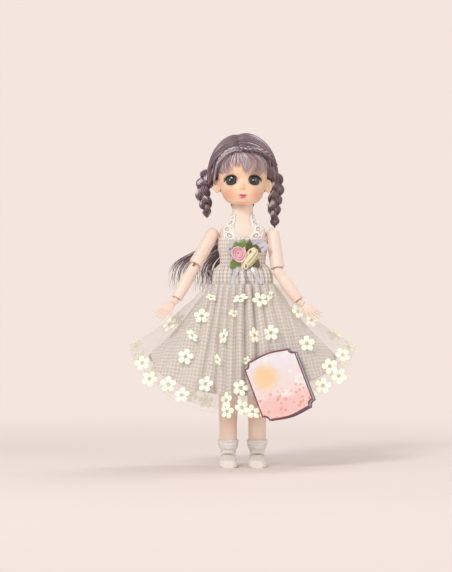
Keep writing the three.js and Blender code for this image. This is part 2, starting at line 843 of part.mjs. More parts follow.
// Arms
function buildArm(name, side) {
  const shoulderGroup = group(torso, side * shoulderSpread, 0, shoulderRise);
  shoulderGroup.rotation.x = -radians(armForward);
  const peg = moved(pegPiece(shoulder), inwards(side));
  add(shoulderGroup, `shoulder_peg_${name}`, peg, pegPlastic);

  const raised = group(shoulderGroup);
  raised.rotation.y = -side * radians(splay[name]);
  const slot = moved(pegSlot(shoulder, sideways - splayMost, sideways - splayLeast), slotInwards(side));
  const upper = limb(
    shoulder,
    upperArmShares,
    upperArmRadius,
    upperArmLength,
    upperArmRim,
    elbow,
    slot,
    12,
  );
  add(raised, `upper_arm_${name}`, upper, skinPlastic);

  const elbowGroup = group(raised, 0, 0, -upperArmLength);
  elbowGroup.rotation.z = elbowBend[name] > 0 ? side * radians(sideways) : 0;
  add(elbowGroup, `elbow_peg_${name}`, pegPiece(elbow), pegPlastic);
  const bent = group(elbowGroup);
  bent.rotation.x = -radians(elbowBend[name]);
  const forearm = limb(
    elbow,
    forearmShares,
    forearmRadius,
    forearmLength,
    forearmRim,
    wrist,
    pegSlot(elbow, 0, elbowLimit),
    12,
  );
  add(bent, `forearm_${name}`, forearm, skinPlastic);

  const wristGroup = group(bent, 0, 0, -forearmLength);
  wristGroup.rotation.z = side * radians(sideways) - elbowGroup.rotation.z;
  add(wristGroup, `wrist_peg_${name}`, pegPiece(wrist), pegPlastic);
  const turnedOut = group(wristGroup);
  turnedOut.rotation.x = -radians(wristBend);
  add(turnedOut, `hand_${name}`, cut(handSolid(), pegSlot(wrist, -wristLimit, wristLimit)), skinPlastic);
}

// A hand hanging from the wrist, thin across X, fingers fanned across Y, thumb towards +Y.
function handSolid() {
  const palmLength = handLength * palmShare;
  const palm = egg(
    [palmHalfThickness, palmHalfWidth, palmLength / 2],
    [0, 0, -wrist.dome / 2 - palmLength / 2],
    10,
  );
  const heel = rod(wrist.dome - clearance, vector(0, 0, 0), vector(0, 0, -wrist.dome), 8);
  const fingers = [-1.5, -0.5, 0.5, 1.5].map((place) => {
    const root = vector(0, place * fingerSpacing * fingerRootGather, -handLength * fingerRootShare);
    const shorter = Math.abs(place + 0.5) * fingerRadius;
    const tip = vector(0, place * fingerSpacing * fingerTipFan, -handLength + shorter);
    return hose([root, tip], [fingerRadius, fingerRadius * fingerTipShare], 5);
  });
  const thumbRoot = vector(0, palmHalfWidth * thumbAcrossShare, -handLength * thumbRootShare);
  const thumbWay = vector(0, thumbSlant, -1).normalize().multiplyScalar(thumbLength);
  const thumbTip = thumbRoot.clone().add(thumbWay);
  const thumb = hose([thumbRoot, thumbTip], [thumbRadius, thumbRadius * fingerTipShare], 5);
  return joined(ball(wrist.dome, [0, 0, 0], 10), heel, palm, ...fingers, thumb);
}

// Legs
function buildLeg(name, side) {
  const hipGroup = group(torso, side * hipSpread, 0, 0);
  const peg = moved(pegPiece(hip), inwards(side));
  add(hipGroup, `hip_peg_${name}`, peg, pegPlastic);
  const slot = moved(pegSlot(hip, sideways - legSpreadLimit, sideways), slotInwards(side));
  const thigh = limb(hip, thighShares, thighRadius, thighLength, thighRim, knee, slot, 14);
  add(hipGroup, `thigh_${name}`, thigh, skinPlastic);

  const kneeGroup = group(hipGroup, 0, 0, -thighLength);
  kneeGroup.rotation.z = Math.PI;
  add(kneeGroup, `knee_peg_${name}`, pegPiece(knee), pegPlastic);
  const shin = limb(
    knee,
    shinShares,
    shinRadius,
    shinLength,
    shinRim,
    ankle,
    pegSlot(knee, 0, kneeLimit),
    14,
  );
  add(kneeGroup, `shin_${name}`, shin, skinPlastic);

  const ankleGroup = group(kneeGroup, 0, 0, -shinLength);
  ankleGroup.rotation.z = Math.PI;
  add(ankleGroup, `ankle_peg_${name}`, pegPiece(ankle), pegPlastic);
  add(ankleGroup, `foot_${name}`, footSolid(), skinPlastic);
  add(ankleGroup, `shoe_${name}`, shoeSolid(), shoeVinyl);
  const sockIn = shinRim + clearance;
  const sockNeck = footColumn(1) + 2 * clearance;
  const sockFoot = footTopRise + clearance - ankleHeight;
  const inside = [
    [sockNeck, sockFoot],
    [sockNeck, sockFoot + sockNeckHeight],
    [sockIn, ankle.rimLift - clearance],
    [sockIn, sockTopRise - ankleHeight],
  ];
  const outside = inside.map(([radius, z]) => [radius + sockWall, z]).reverse();
  const sock = turned([...inside, ...outside, inside[0]], 16);
  add(ankleGroup, `sock_${name}`, sock, sockCotton);
}

// The foot's own form from its floor up, widened evenly for the shoe that goes round it.
function footForm(grow, floor) {
  return skin(
    footShares.map(([along, width, rise]) => {
      const y = heelBack + grow - along * (footLength + 2 * grow);
      const halfWidth = footHalfWidth * width + grow;
      const height = footTopRise * rise + grow - floor;
      return footSliceShares.map(([across, up]) =>
        vector(halfWidth * across, y, floor + height * up - ankleHeight),
      );
    }),
  );
}

// The radius of the foot's ankle, at a step down from its dome.
function footColumn(step) {
  return ankle.dome * footColumnShares[step];
}

function footSolid() {
  const inShoe = soleThickness + clearance;
  const columnFoot = inShoe + shellWall - ankleHeight;
  const column = turned(
    [
      [0, ankle.dome],
      [footColumn(0), ankle.dome * footColumnShares[0]],
      [footColumn(1), 0],
      [footColumn(2), columnFoot / 2],
      [footColumn(3), columnFoot],
      [0, columnFoot],
    ],
    12,
  );
  return cut(joined(column, footForm(0, inShoe)), pegSlot(ankle, -ankleLimit, ankleLimit));
}

function shoeSolid() {
  const far = footLength + heelBack;
  const mouth = block(
    vector(-far, -far / 4, shoeMouthRise - ankleHeight),
    vector(far, far, overrun),
  );
  const outer = footForm(clearance + shoeWall, 0);
  const columnRoom = rod(
    footColumn(3) + 2 * clearance,
    vector(0, 0, overrun),
    vector(0, 0, soleThickness + shellWall - ankleHeight),
  );
  return cut(outer, footForm(clearance, soleThickness), mouth, columnRoom);
}

// Clothes
function buildBodice() {
  const height = bodiceTopRise - bodiceHemRise;
  const ringAt = (share, flare, grow) => {
    const lift = clearance + basqueFlare * flare + grow;
    return torsoRing(bodiceHemRise + height * share, lift);
  };
  const outside = bodiceShares.map(([share, flare]) => ringAt(share, flare, clothThickness));
  const inside = bodiceShares.map(([share, flare]) => ringAt(share, flare, 0)).reverse();
  add(torso, "bodice", skin([...outside, ...inside], true), gingham);
}

// A point of a gathered skirt: around is an angle from +X, down runs from waist to hem.
function skirtPoint(layer, around, down) {
  const [waistX, waistY] = torsoSizeAt(skirtTopRise);
  const front = Math.sqrt(Math.sin(around) ** 2 + skirtSideSoftening);
  const hemDrop = THREE.MathUtils.lerp(layer.sideHemDrop, layer.frontHemDrop, Math.min(front, 1));
  const ripple = layer.folds * Math.sin(foldCount * around) * down;
  const startX = waistX + layer.waistGap + clothThickness;
  const startY = waistY + layer.waistGap + clothThickness;
  const outX = THREE.MathUtils.lerp(startX, layer.halfWidth, down) + ripple;
  const outY = THREE.MathUtils.lerp(startY, layer.halfDepth, down) + ripple;
  const power = THREE.MathUtils.lerp(torsoPower, 2, down);
  const rounded = (v) => Math.sign(v) * Math.abs(v) ** (2 / power);
  const drop = hemDrop * (down + skirtBulge * down * (1 - down));
  return vector(outX * rounded(Math.cos(around)), outY * rounded(Math.sin(around)), skirtTopRise - drop);
}

function skirtNormal(layer, around, down) {
  const step = skirtNormalStep;
  const here = skirtPoint(layer, around, down);
  const along = skirtPoint(layer, around + step, down).sub(here);
  const below = skirtPoint(layer, around, Math.max(down - step, -step)).sub(here);
  return along.cross(below).normalize();
}

function skirtSolid(layer) {
  const samples = foldCount * 6;
  const face = (inward) =>
    Array.from({ length: skirtLevels + 1 }, (_, level) =>
      Array.from({ length: samples }, (_, i) => {
        const around = (2 * Math.PI * i) / samples;
        const down = level / skirtLevels;
        const point = skirtPoint(layer, around, down);
        const normal = skirtNormal(layer, around, down);
        return point.sub(normal.multiplyScalar(inward));
      }),
    );
  return skin([...face(0), ...face(clothThickness).reverse()], true);
}

function buildStrap(name, side) {
  const columns = 4;
  const rows = 9;
  const foot = bodiceTopRise + clearance;
  const at = (u, v, grow) => {
    const z = THREE.MathUtils.lerp(foot, strapTopRise, v);
    const inner = THREE.MathUtils.lerp(...strapInnerDegrees, v);
    const outer = THREE.MathUtils.lerp(...strapOuterDegrees, v);
    const angle = radians(THREE.MathUtils.lerp(inner, outer, u));
    const [halfWidth, halfDepth] = torsoSizeAt(z).map((size) => size + 2 * clearance + grow);
    const rounded = (v) => Math.sign(v) * Math.abs(v) ** (2 / torsoPower);
    return vector(side * halfWidth * rounded(Math.cos(angle)), -halfDepth * rounded(Math.sin(angle)), z);
  };
  const rings = Array.from({ length: rows + 1 }, (_, j) => {
    const ring = [];
    for (let i = 0; i <= columns; i++) ring.push(at(i / columns, j / rows, strapThickness));
    for (let i = columns; i >= 0; i--) ring.push(at(i / columns, j / rows, 0));
    return ring;
  });
  add(torso, `lace_strap_${name}`, skin(rings), laceCotton);
}

// A flat petal shape in the XZ plane, its foot at the origin and pointing along +X.
function petal(length, halfWidth, thickness) {
  const shape = new THREE.Shape();
  shape.moveTo(0, 0);
  const broad = length * petalBroadShare;
  shape.quadraticCurveTo(broad, halfWidth * petalFullness, length, 0);
  shape.quadraticCurveTo(broad, -halfWidth * petalFullness, 0, 0);
  const geometry = new THREE.ExtrudeGeometry(shape, {
    depth: thickness,
    bevelEnabled: false,
    curveSegments: 6,
  });
  return geometry.rotateX(Math.PI / 2);
}

function fan(angles, length, halfWidth, thickness, rootShare) {
  return angles.map((degrees) => {
    const blade = petal(length * (1 + rootShare), halfWidth, thickness);
    blade.translate(-length * rootShare, 0, 0).rotateY(-radians(degrees));
    return solid(blade);
  });
}

// How far the bodice's front stands out at a height.
function bodiceFrontAt(z) {
  const share = (z - bodiceHemRise) / (bodiceTopRise - bodiceHemRise);
  const [flare] = readTable(bodiceShares, share);
  return torsoSizeAt(z)[1] + clearance + basqueFlare * flare + clothThickness;
}

// A ribbon end that lies on the bodice and follows it down over the basque.
function bowTail(angle) {
  const steps = 8;
  const across = Math.abs(bowTailHalfWidth / Math.sin(angle));
  const rings = Array.from({ length: steps + 1 }, (_, i) => {
    const far = (bowTailLength * i) / steps;
    const x = corsageX + far * Math.cos(angle);
    const z = corsageRise + far * Math.sin(angle);
    const back = -bodiceFrontAt(z) - 2 * clearance;
    const front = back - bowThickness;
    return [
      vector(x - across, back, z),
      vector(x - across, front, z),
      vector(x + across, front, z),
      vector(x + across, back, z),
    ];
  });
  return skin(rings);
}

function buildCorsage() {
  const height = corsageRise;
  const bowY = -(chestHalfDepth + clothThickness + 2 * clearance);
  const leafY = bowY - bowThickness - clearance;
  const roseY = leafY - leafThickness - clearance;
  const place = (body, y) => moved(body, shift(corsageX, y, height));
  const knot = (radius, thickness) => rod(radius, vector(0, -thickness, 0), vector(0, 0, 0), 12);
  const bow = joined(
    knot(bowLoopHalfWidth, bowThickness),
    ...fan(bowLoopAngles, bowLoopLength, bowLoopHalfWidth, bowThickness, bowRootShare),
  );
  const tails = bowTailAngles.map((degrees) => bowTail(radians(degrees)));
  add(torso, "silver_bow", joined(place(bow, bowY), ...tails), silverRibbon);
  const leaves = joined(
    knot(leafHalfWidth, leafThickness),
    ...fan(leafAngles, leafLength, leafHalfWidth, leafThickness, leafRootShare),
  );
  add(torso, "rose_leaves", place(leaves, leafY), satinGreen);
  const behind = block(
    vector(-leafLength * 3, 0, -leafLength * 3),
    vector(leafLength * 3, roseDepth * 2, leafLength * 3),
  );
  const pink = egg([rosePinkRadius, roseDepth, rosePinkRadius], [rosePinkAt[0], 0, rosePinkAt[1]], 16);
  const cream = egg(
    [roseCreamRadii[0], roseDepth, roseCreamRadii[1]],
    [roseCreamAt[0], 0, roseCreamAt[1]],
    16,
  );
  const pinkClear = egg(
    [rosePinkRadius + clearance, roseDepth + clearance, rosePinkRadius + clearance],
    [rosePinkAt[0], 0, rosePinkAt[1]],
    16,
  );
  add(torso, "rose_pink", place(cut(pink, behind), roseY), satinPink);
  add(torso, "rose_cream", place(cut(cream, behind, pinkClear), roseY), satinCream);
}

// The tag's outline: a card whose corners are scooped out.
function tagLeaf() {
  const [w, h, n] = [tagWidth / 2, tagHeight / 2, tagNotch];
  const shape = new THREE.Shape();
  shape.moveTo(-w + n, -h);
  shape.lineTo(w - n, -h);
  shape.quadraticCurveTo(w - n, -h + n, w, -h + n);
  shape.lineTo(w, h - n);
  shape.quadraticCurveTo(w - n, h - n, w - n, h);
  shape.lineTo(-w + n, h);
  shape.quadraticCurveTo(-w + n, h - n, -w, h - n);
  shape.lineTo(-w, -h + n);
  shape.quadraticCurveTo(-w + n, -h + n, -w + n, -h);
  const settings = { depth: tagThickness, bevelEnabled: false, curveSegments: 4 };
  return solid(new THREE.ExtrudeGeometry(shape, settings).rotateX(Math.PI / 2));
}

// The skirt's front surface at a place across and up, found along its own grid.
function skirtFrontY(x, z) {
  let best = null;
  for (let i = 0; i <= 200; i++) {
    for (let j = 0; j <= 60; j++) {
      const point = skirtPoint(tulle, Math.PI * (1 + i / 200), j / 60);
      const miss = Math.hypot(point.x - x, point.z - z);
      if (!best || miss < best.miss) best = { miss, y: point.y };
    }
  }
  return best.y;
}

function buildTag() {
  const tagRise = tagCentreHeight - hipHeight;
  const tag = group(torso, tagCentreX, skirtFrontY(tagCentreX, tagRise) - tagStandOff, tagRise);
  tag.rotation.set(radians(-tagLean), -radians(tagTurn), 0);
  add(tag, "tag_front", tagLeaf(), tagCard);
  const backY = tagLeafGap + tagThickness;
  add(tag, "tag_back", tagLeaf(), tagCardBack).position.y = backY;
  tag.updateMatrixWorld(true);
  torso.updateMatrixWorld(true);
  const start = torso.worldToLocal(tag.localToWorld(vector(0, backY + clearance, tagTackRise)));
  const endY = skirtFrontY(start.x, start.z) - clearance - clothThickness;
  const end = vector(start.x, Math.max(endY, start.y + clothThickness), start.z);
  add(torso, "tag_tack", rod(tagTackRadius, start, end, 8), tackNylon);
}

buildTorso();
buildHead();
buildHair();
buildArm("right", -1);
buildArm("left", 1);
buildLeg("right", -1);
buildLeg("left", 1);
buildBodice();
add(torso, "skirt_lining", skirtSolid(lining), gingham);
add(torso, "skirt_tulle", skirtSolid(tulle), tulleNet);
buildStrap("right", -1);
buildStrap("left", 1);
buildCorsage();
buildTag();

export default doll;
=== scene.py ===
# %% [markdown]
# # A jointed fashion doll in a flowered dress
# This notebook dresses the solids of a 30 cm doll: smooth plastic limbs on pegs, a painted vinyl
# face, combed and braided hair, and a gingham dress under a sheer flowered net. The solids give the
# places and the sizes, and each cell makes one kind of piece over them.
# The doll faces -Y, its left hand is on +X, and it stands on z = 0.

# %% Libraries and the frame
import json
import math
from math import cos, pi, radians, sin

import bmesh
import bpy
import numpy as np
from mathutils import Matrix, Vector


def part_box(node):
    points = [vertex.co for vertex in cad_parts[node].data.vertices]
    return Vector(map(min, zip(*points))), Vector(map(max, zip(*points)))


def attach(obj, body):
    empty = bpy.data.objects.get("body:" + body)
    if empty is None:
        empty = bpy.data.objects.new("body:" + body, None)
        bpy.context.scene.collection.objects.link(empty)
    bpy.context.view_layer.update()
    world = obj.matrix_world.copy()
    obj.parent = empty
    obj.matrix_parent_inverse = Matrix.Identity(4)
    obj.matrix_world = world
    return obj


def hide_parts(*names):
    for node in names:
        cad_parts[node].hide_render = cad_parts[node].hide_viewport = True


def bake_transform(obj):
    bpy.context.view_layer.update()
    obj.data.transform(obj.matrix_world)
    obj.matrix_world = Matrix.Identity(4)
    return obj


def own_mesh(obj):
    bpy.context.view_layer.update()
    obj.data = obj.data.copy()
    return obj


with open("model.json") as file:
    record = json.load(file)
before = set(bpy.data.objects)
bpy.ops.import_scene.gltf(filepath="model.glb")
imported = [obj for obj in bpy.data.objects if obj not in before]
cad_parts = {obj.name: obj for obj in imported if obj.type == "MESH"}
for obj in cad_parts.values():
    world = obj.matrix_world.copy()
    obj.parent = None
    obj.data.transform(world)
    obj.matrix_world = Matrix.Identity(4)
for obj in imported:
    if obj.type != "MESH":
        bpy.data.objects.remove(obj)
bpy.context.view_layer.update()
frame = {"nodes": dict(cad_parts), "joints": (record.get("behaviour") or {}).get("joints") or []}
joints = {joint["name"]: joint for joint in frame["joints"]}
halves = ((-1, "right"), (1, "left"))
mm = 0.001

# %% [markdown]
# ## The view
# A long lens far away keeps the doll's proportions flat, as a catalogue picture does. The middle of
# the picture lies a little to one side of the doll, and the doll stands in the upper part of the frame.

# %% Camera
picture_middle = Vector((-15 * mm, 0, 162 * mm))
picture_height = 515 * mm
camera_distance = 2.2

camera_data = bpy.data.cameras.new("camera")
camera_data.lens = camera_data.sensor_width * camera_distance / picture_height
camera = bpy.data.objects.new("camera", camera_data)
camera.location = picture_middle + Vector((0, -camera_distance, 0))
camera.rotation_euler = (radians(90), 0, 0)
bpy.context.scene.collection.objects.link(camera)
bpy.context.scene.camera = camera
bpy.context.scene.view_settings.view_transform = "Standard"

# %% [markdown]
# ## Making meshes
# Most pieces are grids of points: rings round a limb, rows down a skirt, turns along a lock of hair.
# One function turns such a grid into a mesh, with a UV map where a pattern has to follow the surface.

# %% Mesh helpers
def unit(v):
    return v / np.maximum(np.linalg.norm(v, axis=-1, keepdims=True), 1e-12)


def within(values):
    """Values held between 0 and 1."""
    return np.clip(values, 0, 1)


def even(count):
    """Shares from 0 to 1, evenly spaced."""
    return np.linspace(0, 1, count)


def through(xs, ys, at):
    """Smooth values through points, never past them."""
    xs, ys, at = np.asarray(xs, float), np.asarray(ys, float), np.asarray(at, float)
    step, slope = np.diff(xs), np.diff(ys) / np.diff(xs)
    lean = np.concatenate([[slope[0]], (slope[:-1] + slope[1:]) / 2, [slope[-1]]])
    turn = slope[:-1] * slope[1:] <= 0
    lean[1:-1][turn] = 0
    steepest = 3 * np.minimum(np.abs(np.r_[slope[0], slope]), np.abs(np.r_[slope, slope[-1]]))
    lean = np.sign(lean) * np.minimum(np.abs(lean), steepest)
    i = np.clip(np.searchsorted(xs, at) - 1, 0, len(step) - 1)
    t = within((at - xs[i]) / step[i])
    h = step[i]
    return (
        ys[i] * (1 + 2 * t) * (1 - t) ** 2
        + lean[i] * h * t * (1 - t) ** 2
        + ys[i + 1] * t * t * (3 - 2 * t)
        + lean[i + 1] * h * t * t * (t - 1)
    )


def table_at(table, at):
    """Every column of a table but its first, read smoothly at values of the first."""
    return [through(table[:, 0], column, at) for column in table.T[1:]]


def guide_at(guide, t):
    """Points along a smooth line through a guide's points, which are evenly spaced in t."""
    guide = np.asarray(guide, float)
    steps = np.linspace(0, 1, len(guide))
    return np.column_stack([through(steps, column, t) for column in guide.T])


def full_turn(count):
    """Angles once round, evenly spaced, the first not repeated."""
    return np.linspace(0, 2 * pi, count, endpoint=False)


def new_object(name, data):
    made = bpy.data.objects.new(name, data)
    bpy.context.scene.collection.objects.link(made)
    return made


def make_object(name, points, faces, uv=None):
    mesh = bpy.data.meshes.new(name)
    mesh.from_pydata([tuple(p) for p in points], [], faces)
    if uv is not None:
        layer = mesh.uv_layers.new(name="UVMap")
        layer.data.foreach_set("uv", np.asarray(uv, np.float32).ravel())
    return smooth(new_object(name, mesh))


def smooth(made):
    made.data.polygons.foreach_set("use_smooth", [True] * len(made.data.polygons))
    return made


def grid_faces(rows, columns, round_about):
    """Quads between the rows of a grid, and the grid column that each corner reads its UV from."""
    i, j = np.meshgrid(np.arange(rows - 1), np.arange(columns if round_about else columns - 1), indexing="ij")
    k = (j + 1) % columns
    corners = np.stack([i * columns + j, i * columns + k, (i + 1) * columns + k, (i + 1) * columns + j], -1)
    places = np.stack([np.stack([i + a, j + b], -1) for a, b in ((0, 0), (0, 1), (1, 1), (1, 0))], -2)
    return corners.reshape(-1, 4).tolist(), places.reshape(-1, 2)


def grid_object(name, grid, uv=None, round_about=False):
    """A mesh from a grid of points. A grid that goes round has a UV column more than it has points."""
    rows, columns = grid.shape[:2]
    faces, places = grid_faces(rows, columns, round_about)
    corner_uv = None if uv is None else uv[places[:, 0], places[:, 1]]
    return make_object(name, grid.reshape(-1, 3), faces, corner_uv)


def sheet_object(name, outer, inner, uv):
    """A thin sheet between two grids of points, closed by rims all round."""
    rows, columns = outer.shape[:2]
    count = 2 * rows
    faces = [
        (i * columns + j, n * columns + j, n * columns + j + 1, i * columns + j + 1)
        for i, n in zip(range(count), [*range(1, count), 0])
        for j in range(columns - 1)
    ]
    for j in (0, columns - 1):
        for i in range(rows - 1):
            faces.append([k * columns + j for k in (i, i + 1, count - 2 - i, count - 1 - i)])
    places = np.concatenate([uv, uv[::-1]]).reshape(-1, 2)
    return make_object(
        name, np.concatenate([outer, inner[::-1]]).reshape(-1, 3), faces, places[np.array(faces).ravel()]
    )


def sheet_area(grid):
    """The area of a grid of points, in square metres."""
    sides = grid[1:, :-1] - grid[:-1, :-1], grid[:-1, 1:] - grid[:-1, :-1]
    return float(np.linalg.norm(np.cross(*sides), axis=-1).sum())


def closed_loft(name, rings):
    """A closed mesh through rings of points, with a fan at each end."""
    rows, columns = rings.shape[:2]
    faces, _ = grid_faces(rows, columns, True)
    points = list(rings.reshape(-1, 3)) + [rings[0].mean(0), rings[-1].mean(0)]
    first, last = len(points) - 2, len(points) - 1
    start = (rows - 1) * columns
    for j in range(columns):
        k = (j + 1) % columns
        faces.append([first, k, j])
        faces.append([last, start + j, start + k])
    return outward(make_object(name, points, faces))


def outward(made):
    """Welds doubled points and turns every face outwards."""
    work = bmesh.new()
    work.from_mesh(made.data)
    bmesh.ops.remove_doubles(work, verts=work.verts, dist=0.005 * mm)
    bmesh.ops.recalc_face_normals(work, faces=work.faces)
    work.to_mesh(made.data)
    work.free()
    return made


def settled(made):
    """The mesh as its modifiers leave it, with no modifier left."""
    graph = bpy.context.evaluated_depsgraph_get()
    mesh = bpy.data.meshes.new_from_object(made.evaluated_get(graph))
    made.modifiers.clear()
    made.data = mesh
    return made


def cut_away(made, *cutters):
    """Takes the cutters' volume out of a closed mesh."""
    for cutter in cutters:
        tool = made.modifiers.new("cut", "BOOLEAN")
        tool.object = cutter
        tool.operation = "DIFFERENCE"
        tool.solver = "MANIFOLD"
        settled(made)
    for cutter in cutters:
        bpy.data.objects.remove(cutter)
    return made


def soft_edges(made, degrees=35):
    """Smooth shading that keeps real edges sharp."""
    smooth(made)
    made.data.set_sharp_from_angle(angle=radians(degrees))
    return made


def thickened(made, thickness):
    """Gives a ribbon its thickness, half on each side."""
    wall = made.modifiers.new("ribbon", "SOLIDIFY")
    wall.thickness = thickness
    wall.offset = 0
    return settled(made)


def mark_points(mesh, label, values):
    """Stores a number or a vector at every point of a mesh."""
    values = np.asarray(values, np.float32)
    kind, key = ("FLOAT", "value") if values.ndim == 1 else ("FLOAT_VECTOR", "vector")
    mesh.attributes.new(label, kind, "POINT").data.foreach_set(key, values.ravel())


def only_material(made, material):
    made.data.materials.clear()
    made.data.materials.append(material)


def dress(made, material, body, slot, *nodes):
    """Gives a finished piece its material and the body that carries it."""
    only_material(made, material)
    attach(made, body)
    if nodes:
        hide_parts(*nodes)
    return made


def bmesh_object(name, work):
    """An object from a finished bmesh, which is freed."""
    mesh = bpy.data.meshes.new(name)
    work.to_mesh(mesh)
    work.free()
    return new_object(name, mesh)


def joined_object(name, parts):
    """One object from several, which are used up."""
    work = bmesh.new()
    for part in parts:
        work.from_mesh(part.data)
    for part in parts:
        bpy.data.objects.remove(part)
    return bmesh_object(name, work)


# %% [markdown]
# ## Building materials
# A material is a Principled shader with a few nodes before it. These helpers add a node with its
# values and link its inputs in one line, so that each material below reads as a short recipe.

# %% Material helpers
def set_inputs(made, values):
    """Links each named input of a node that is given a socket, and sets the others. "#..." is a colour."""
    for key, value in values.items():
        if isinstance(value, bpy.types.NodeSocket):
            made.id_data.links.new(value, made.inputs[key])
        else:
            is_colour = isinstance(value, str) and value.startswith("#")
            made.inputs[key].default_value = colour(value) if is_colour else value


def add_node(tree, kind, values=None, **settings):
    made = tree.nodes.new(kind)
    for key, value in settings.items():
        setattr(made, key, value)
    set_inputs(made, values or {})
    return made


def colour(text):
    """A colour written as a web page writes it, made linear."""
    parts = [int(text[i : i + 2], 16) / 255 for i in (1, 3, 5)]
    return [c / 12.92 if c <= 0.04045 else ((c + 0.055) / 1.055) ** 2.4 for c in parts] + [1]


def new_material(name):
    made = bpy.data.materials.new(name)
    made.use_nodes = True
    return made, made.node_tree, made.node_tree.nodes["Principled BSDF"]


def mix_colours(tree, share, first, second):
    return add_node(tree, "ShaderNodeMix", {0: share, 6: first, 7: second}, data_type="RGBA").outputs[2]


def calculate(tree, operation, first, second=0.0, clamp=False):
    return add_node(
        tree, "ShaderNodeMath", {0: first, 1: second}, operation=operation, use_clamp=clamp
    ).outputs[0]


def times(tree, first, second):
    return calculate(tree, "MULTIPLY", first, second)


def vector_math(tree, operation, values):
    return add_node(tree, "ShaderNodeVectorMath", values, operation=operation).outputs


def ramp(tree, value, low, high):
    """0 below low, 1 above high, smooth between."""
    span = {"Value": value, "From Min": low, "From Max": high}
    return add_node(tree, "ShaderNodeMapRange", span, interpolation_type="SMOOTHSTEP").outputs["Result"]


def noise_at(tree, place, scale, detail=2, distortion=0.0):
    values = {"Vector": place, "Scale": scale, "Detail": detail, "Distortion": distortion}
    return add_node(tree, "ShaderNodeTexNoise", values).outputs["Fac"]


def marked(tree, label, socket="Fac"):
    """What mark_points stored under a label."""
    return add_node(tree, "ShaderNodeAttribute", attribute_name=label).outputs[socket]


def add_relief(shader, height, strength, depth):
    """Bumps a shader's surface by a height, its depth in millimetres."""
    values = {"Height": height, "Strength": strength, "Distance": depth * mm}
    set_inputs(shader, {"Normal": add_node(shader.id_data, "ShaderNodeBump", values).outputs["Normal"]})


def axes_of(tree, place):
    return add_node(tree, "ShaderNodeSeparateXYZ", {"Vector": place}).outputs


def object_place(tree):
    return add_node(tree, "ShaderNodeTexCoord").outputs["Object"]


def uv_place(tree):
    return add_node(tree, "ShaderNodeTexCoord").outputs["UV"]


def new_group(name, kind, inputs, outputs):
    """An empty group with named sockets, each given as (name, kind) or (name, kind, start value)."""
    tree = bpy.data.node_groups.new(name, kind + "NodeTree")
    for end, sockets in (("INPUT", inputs), ("OUTPUT", outputs)):
        for label, socket_kind, *start in sockets:
            socket = tree.interface.new_socket(label, in_out=end, socket_type="NodeSocket" + socket_kind)
            if start:
                socket.default_value = start[0]
    return tree, tree.nodes.new("NodeGroupInput").outputs, tree.nodes.new("NodeGroupOutput")


def use_group(tree, group, values):
    return add_node(tree, "ShaderNodeGroup", values, node_tree=group).outputs

# %% [markdown]
# ## Moulded plastic
# The body is a satin plastic. It is never one colour: light soaks in a little, handling leaves faint
# warm patches, and the mould leaves a very fine grain. One group gives the patches and the grain, and
# the limbs, the torso, the pegs and the shoes each use it with their own values.

# %% The moulded plastic group
plastic_group, given, result = new_group(
    "moulded plastic",
    "Shader",
    [
        ("Place", "Vector"),
        ("Colour", "Color", colour("#f3d5c6")),
        ("Patch colour", "Color", colour("#ecc3b0")),
        ("Patches", "Float", 0.4),
    ],
    [("Colour", "Color"), ("Roughness", "Float"), ("Height", "Float")],
)
patches = noise_at(plastic_group, given["Place"], 45)
patch_share = times(plastic_group, ramp(plastic_group, patches, 0.42, 0.68), given["Patches"])
rougher = calculate(plastic_group, "MULTIPLY_ADD", patches, 0.16)
rougher.node.inputs[2].default_value = 0.34
set_inputs(
    result,
    {
        "Colour": mix_colours(plastic_group, patch_share, given["Colour"], given["Patch colour"]),
        "Roughness": rougher,
        "Height": noise_at(plastic_group, given["Place"], 1800),
    },
)


def vinyl(tree, place, base, patch, patches_share):
    values = {"Place": place, "Colour": base, "Patch colour": patch, "Patches": patches_share}
    return use_group(tree, plastic_group, values)


def finish_vinyl(shader, given, tint, soak):
    """Gives a shader its tint, the grain of the mould and a little soaked-in light."""
    add_relief(shader, given["Height"], 0.25, 0.02)
    soft = {"Subsurface Weight": soak, "Subsurface Scale": 2 * mm}
    set_inputs(shader, {"Base Color": tint, "Roughness": given["Roughness"]} | soft)


def plastic_material(name, base, patch, soak=0.12):
    made, tree, shader = new_material(name)
    given = vinyl(tree, object_place(tree), base, patch, 0.4)
    finish_vinyl(shader, given, given["Colour"], soak)
    return made


skin_plastic = plastic_material("skin plastic", "#f6dfcf", "#efcab6")
peg_plastic = plastic_material("peg plastic", "#e9c9ba", "#dfb6a3")
shoe_plastic = plastic_material("shoe plastic", "#f3ece3", "#e6dacd", soak=0.02)

# %% [markdown]
# ## Limbs
# Each limb is turned, like a chair leg: a ball at its upper end, a slim body, and a square rim that
# cups the next ball. The profiles below are shares of the limb's own length and radius, and the
# joints of the frame say where each limb starts and ends. A slot in the ball lets the flat tongue of
# the peg swing, so it is cut out of the turned shape afterwards.

# %% Limb profiles
# Ball, rim and tongue sizes of each joint, in millimetres, as on the solids
shoulder = {"ball": 5.8, "disc": 3.4, "tongue": 2.4, "neck": 2.8}
elbow = {"ball": 5.0, "disc": 2.9, "tongue": 2.2, "neck": 2.6, "rim_lift": 4.0, "rim": 6.3}
wrist = {"ball": 3.4, "disc": 2.0, "tongue": 1.6, "neck": 1.8, "rim_lift": 2.2, "rim": 5.2}
hip = {"ball": 9.0, "disc": 5.0, "tongue": 3.2, "neck": 4.4}
knee = {"ball": 8.0, "disc": 4.6, "tongue": 3.2, "neck": 4.0, "rim_lift": 6.5, "rim": 9.2}
ankle = {"ball": 5.6, "disc": 3.2, "tongue": 2.4, "neck": 2.8, "rim_lift": 3.0, "rim": 8.0}
upper_arm_shape = (6.3, [(0.22, 0.97), (0.45, 1.0), (0.75, 0.96), (0.9, 1.0)])
forearm_shape = (5.8, [(0.2, 0.86), (0.42, 1.0), (0.7, 0.93), (0.88, 0.88)])
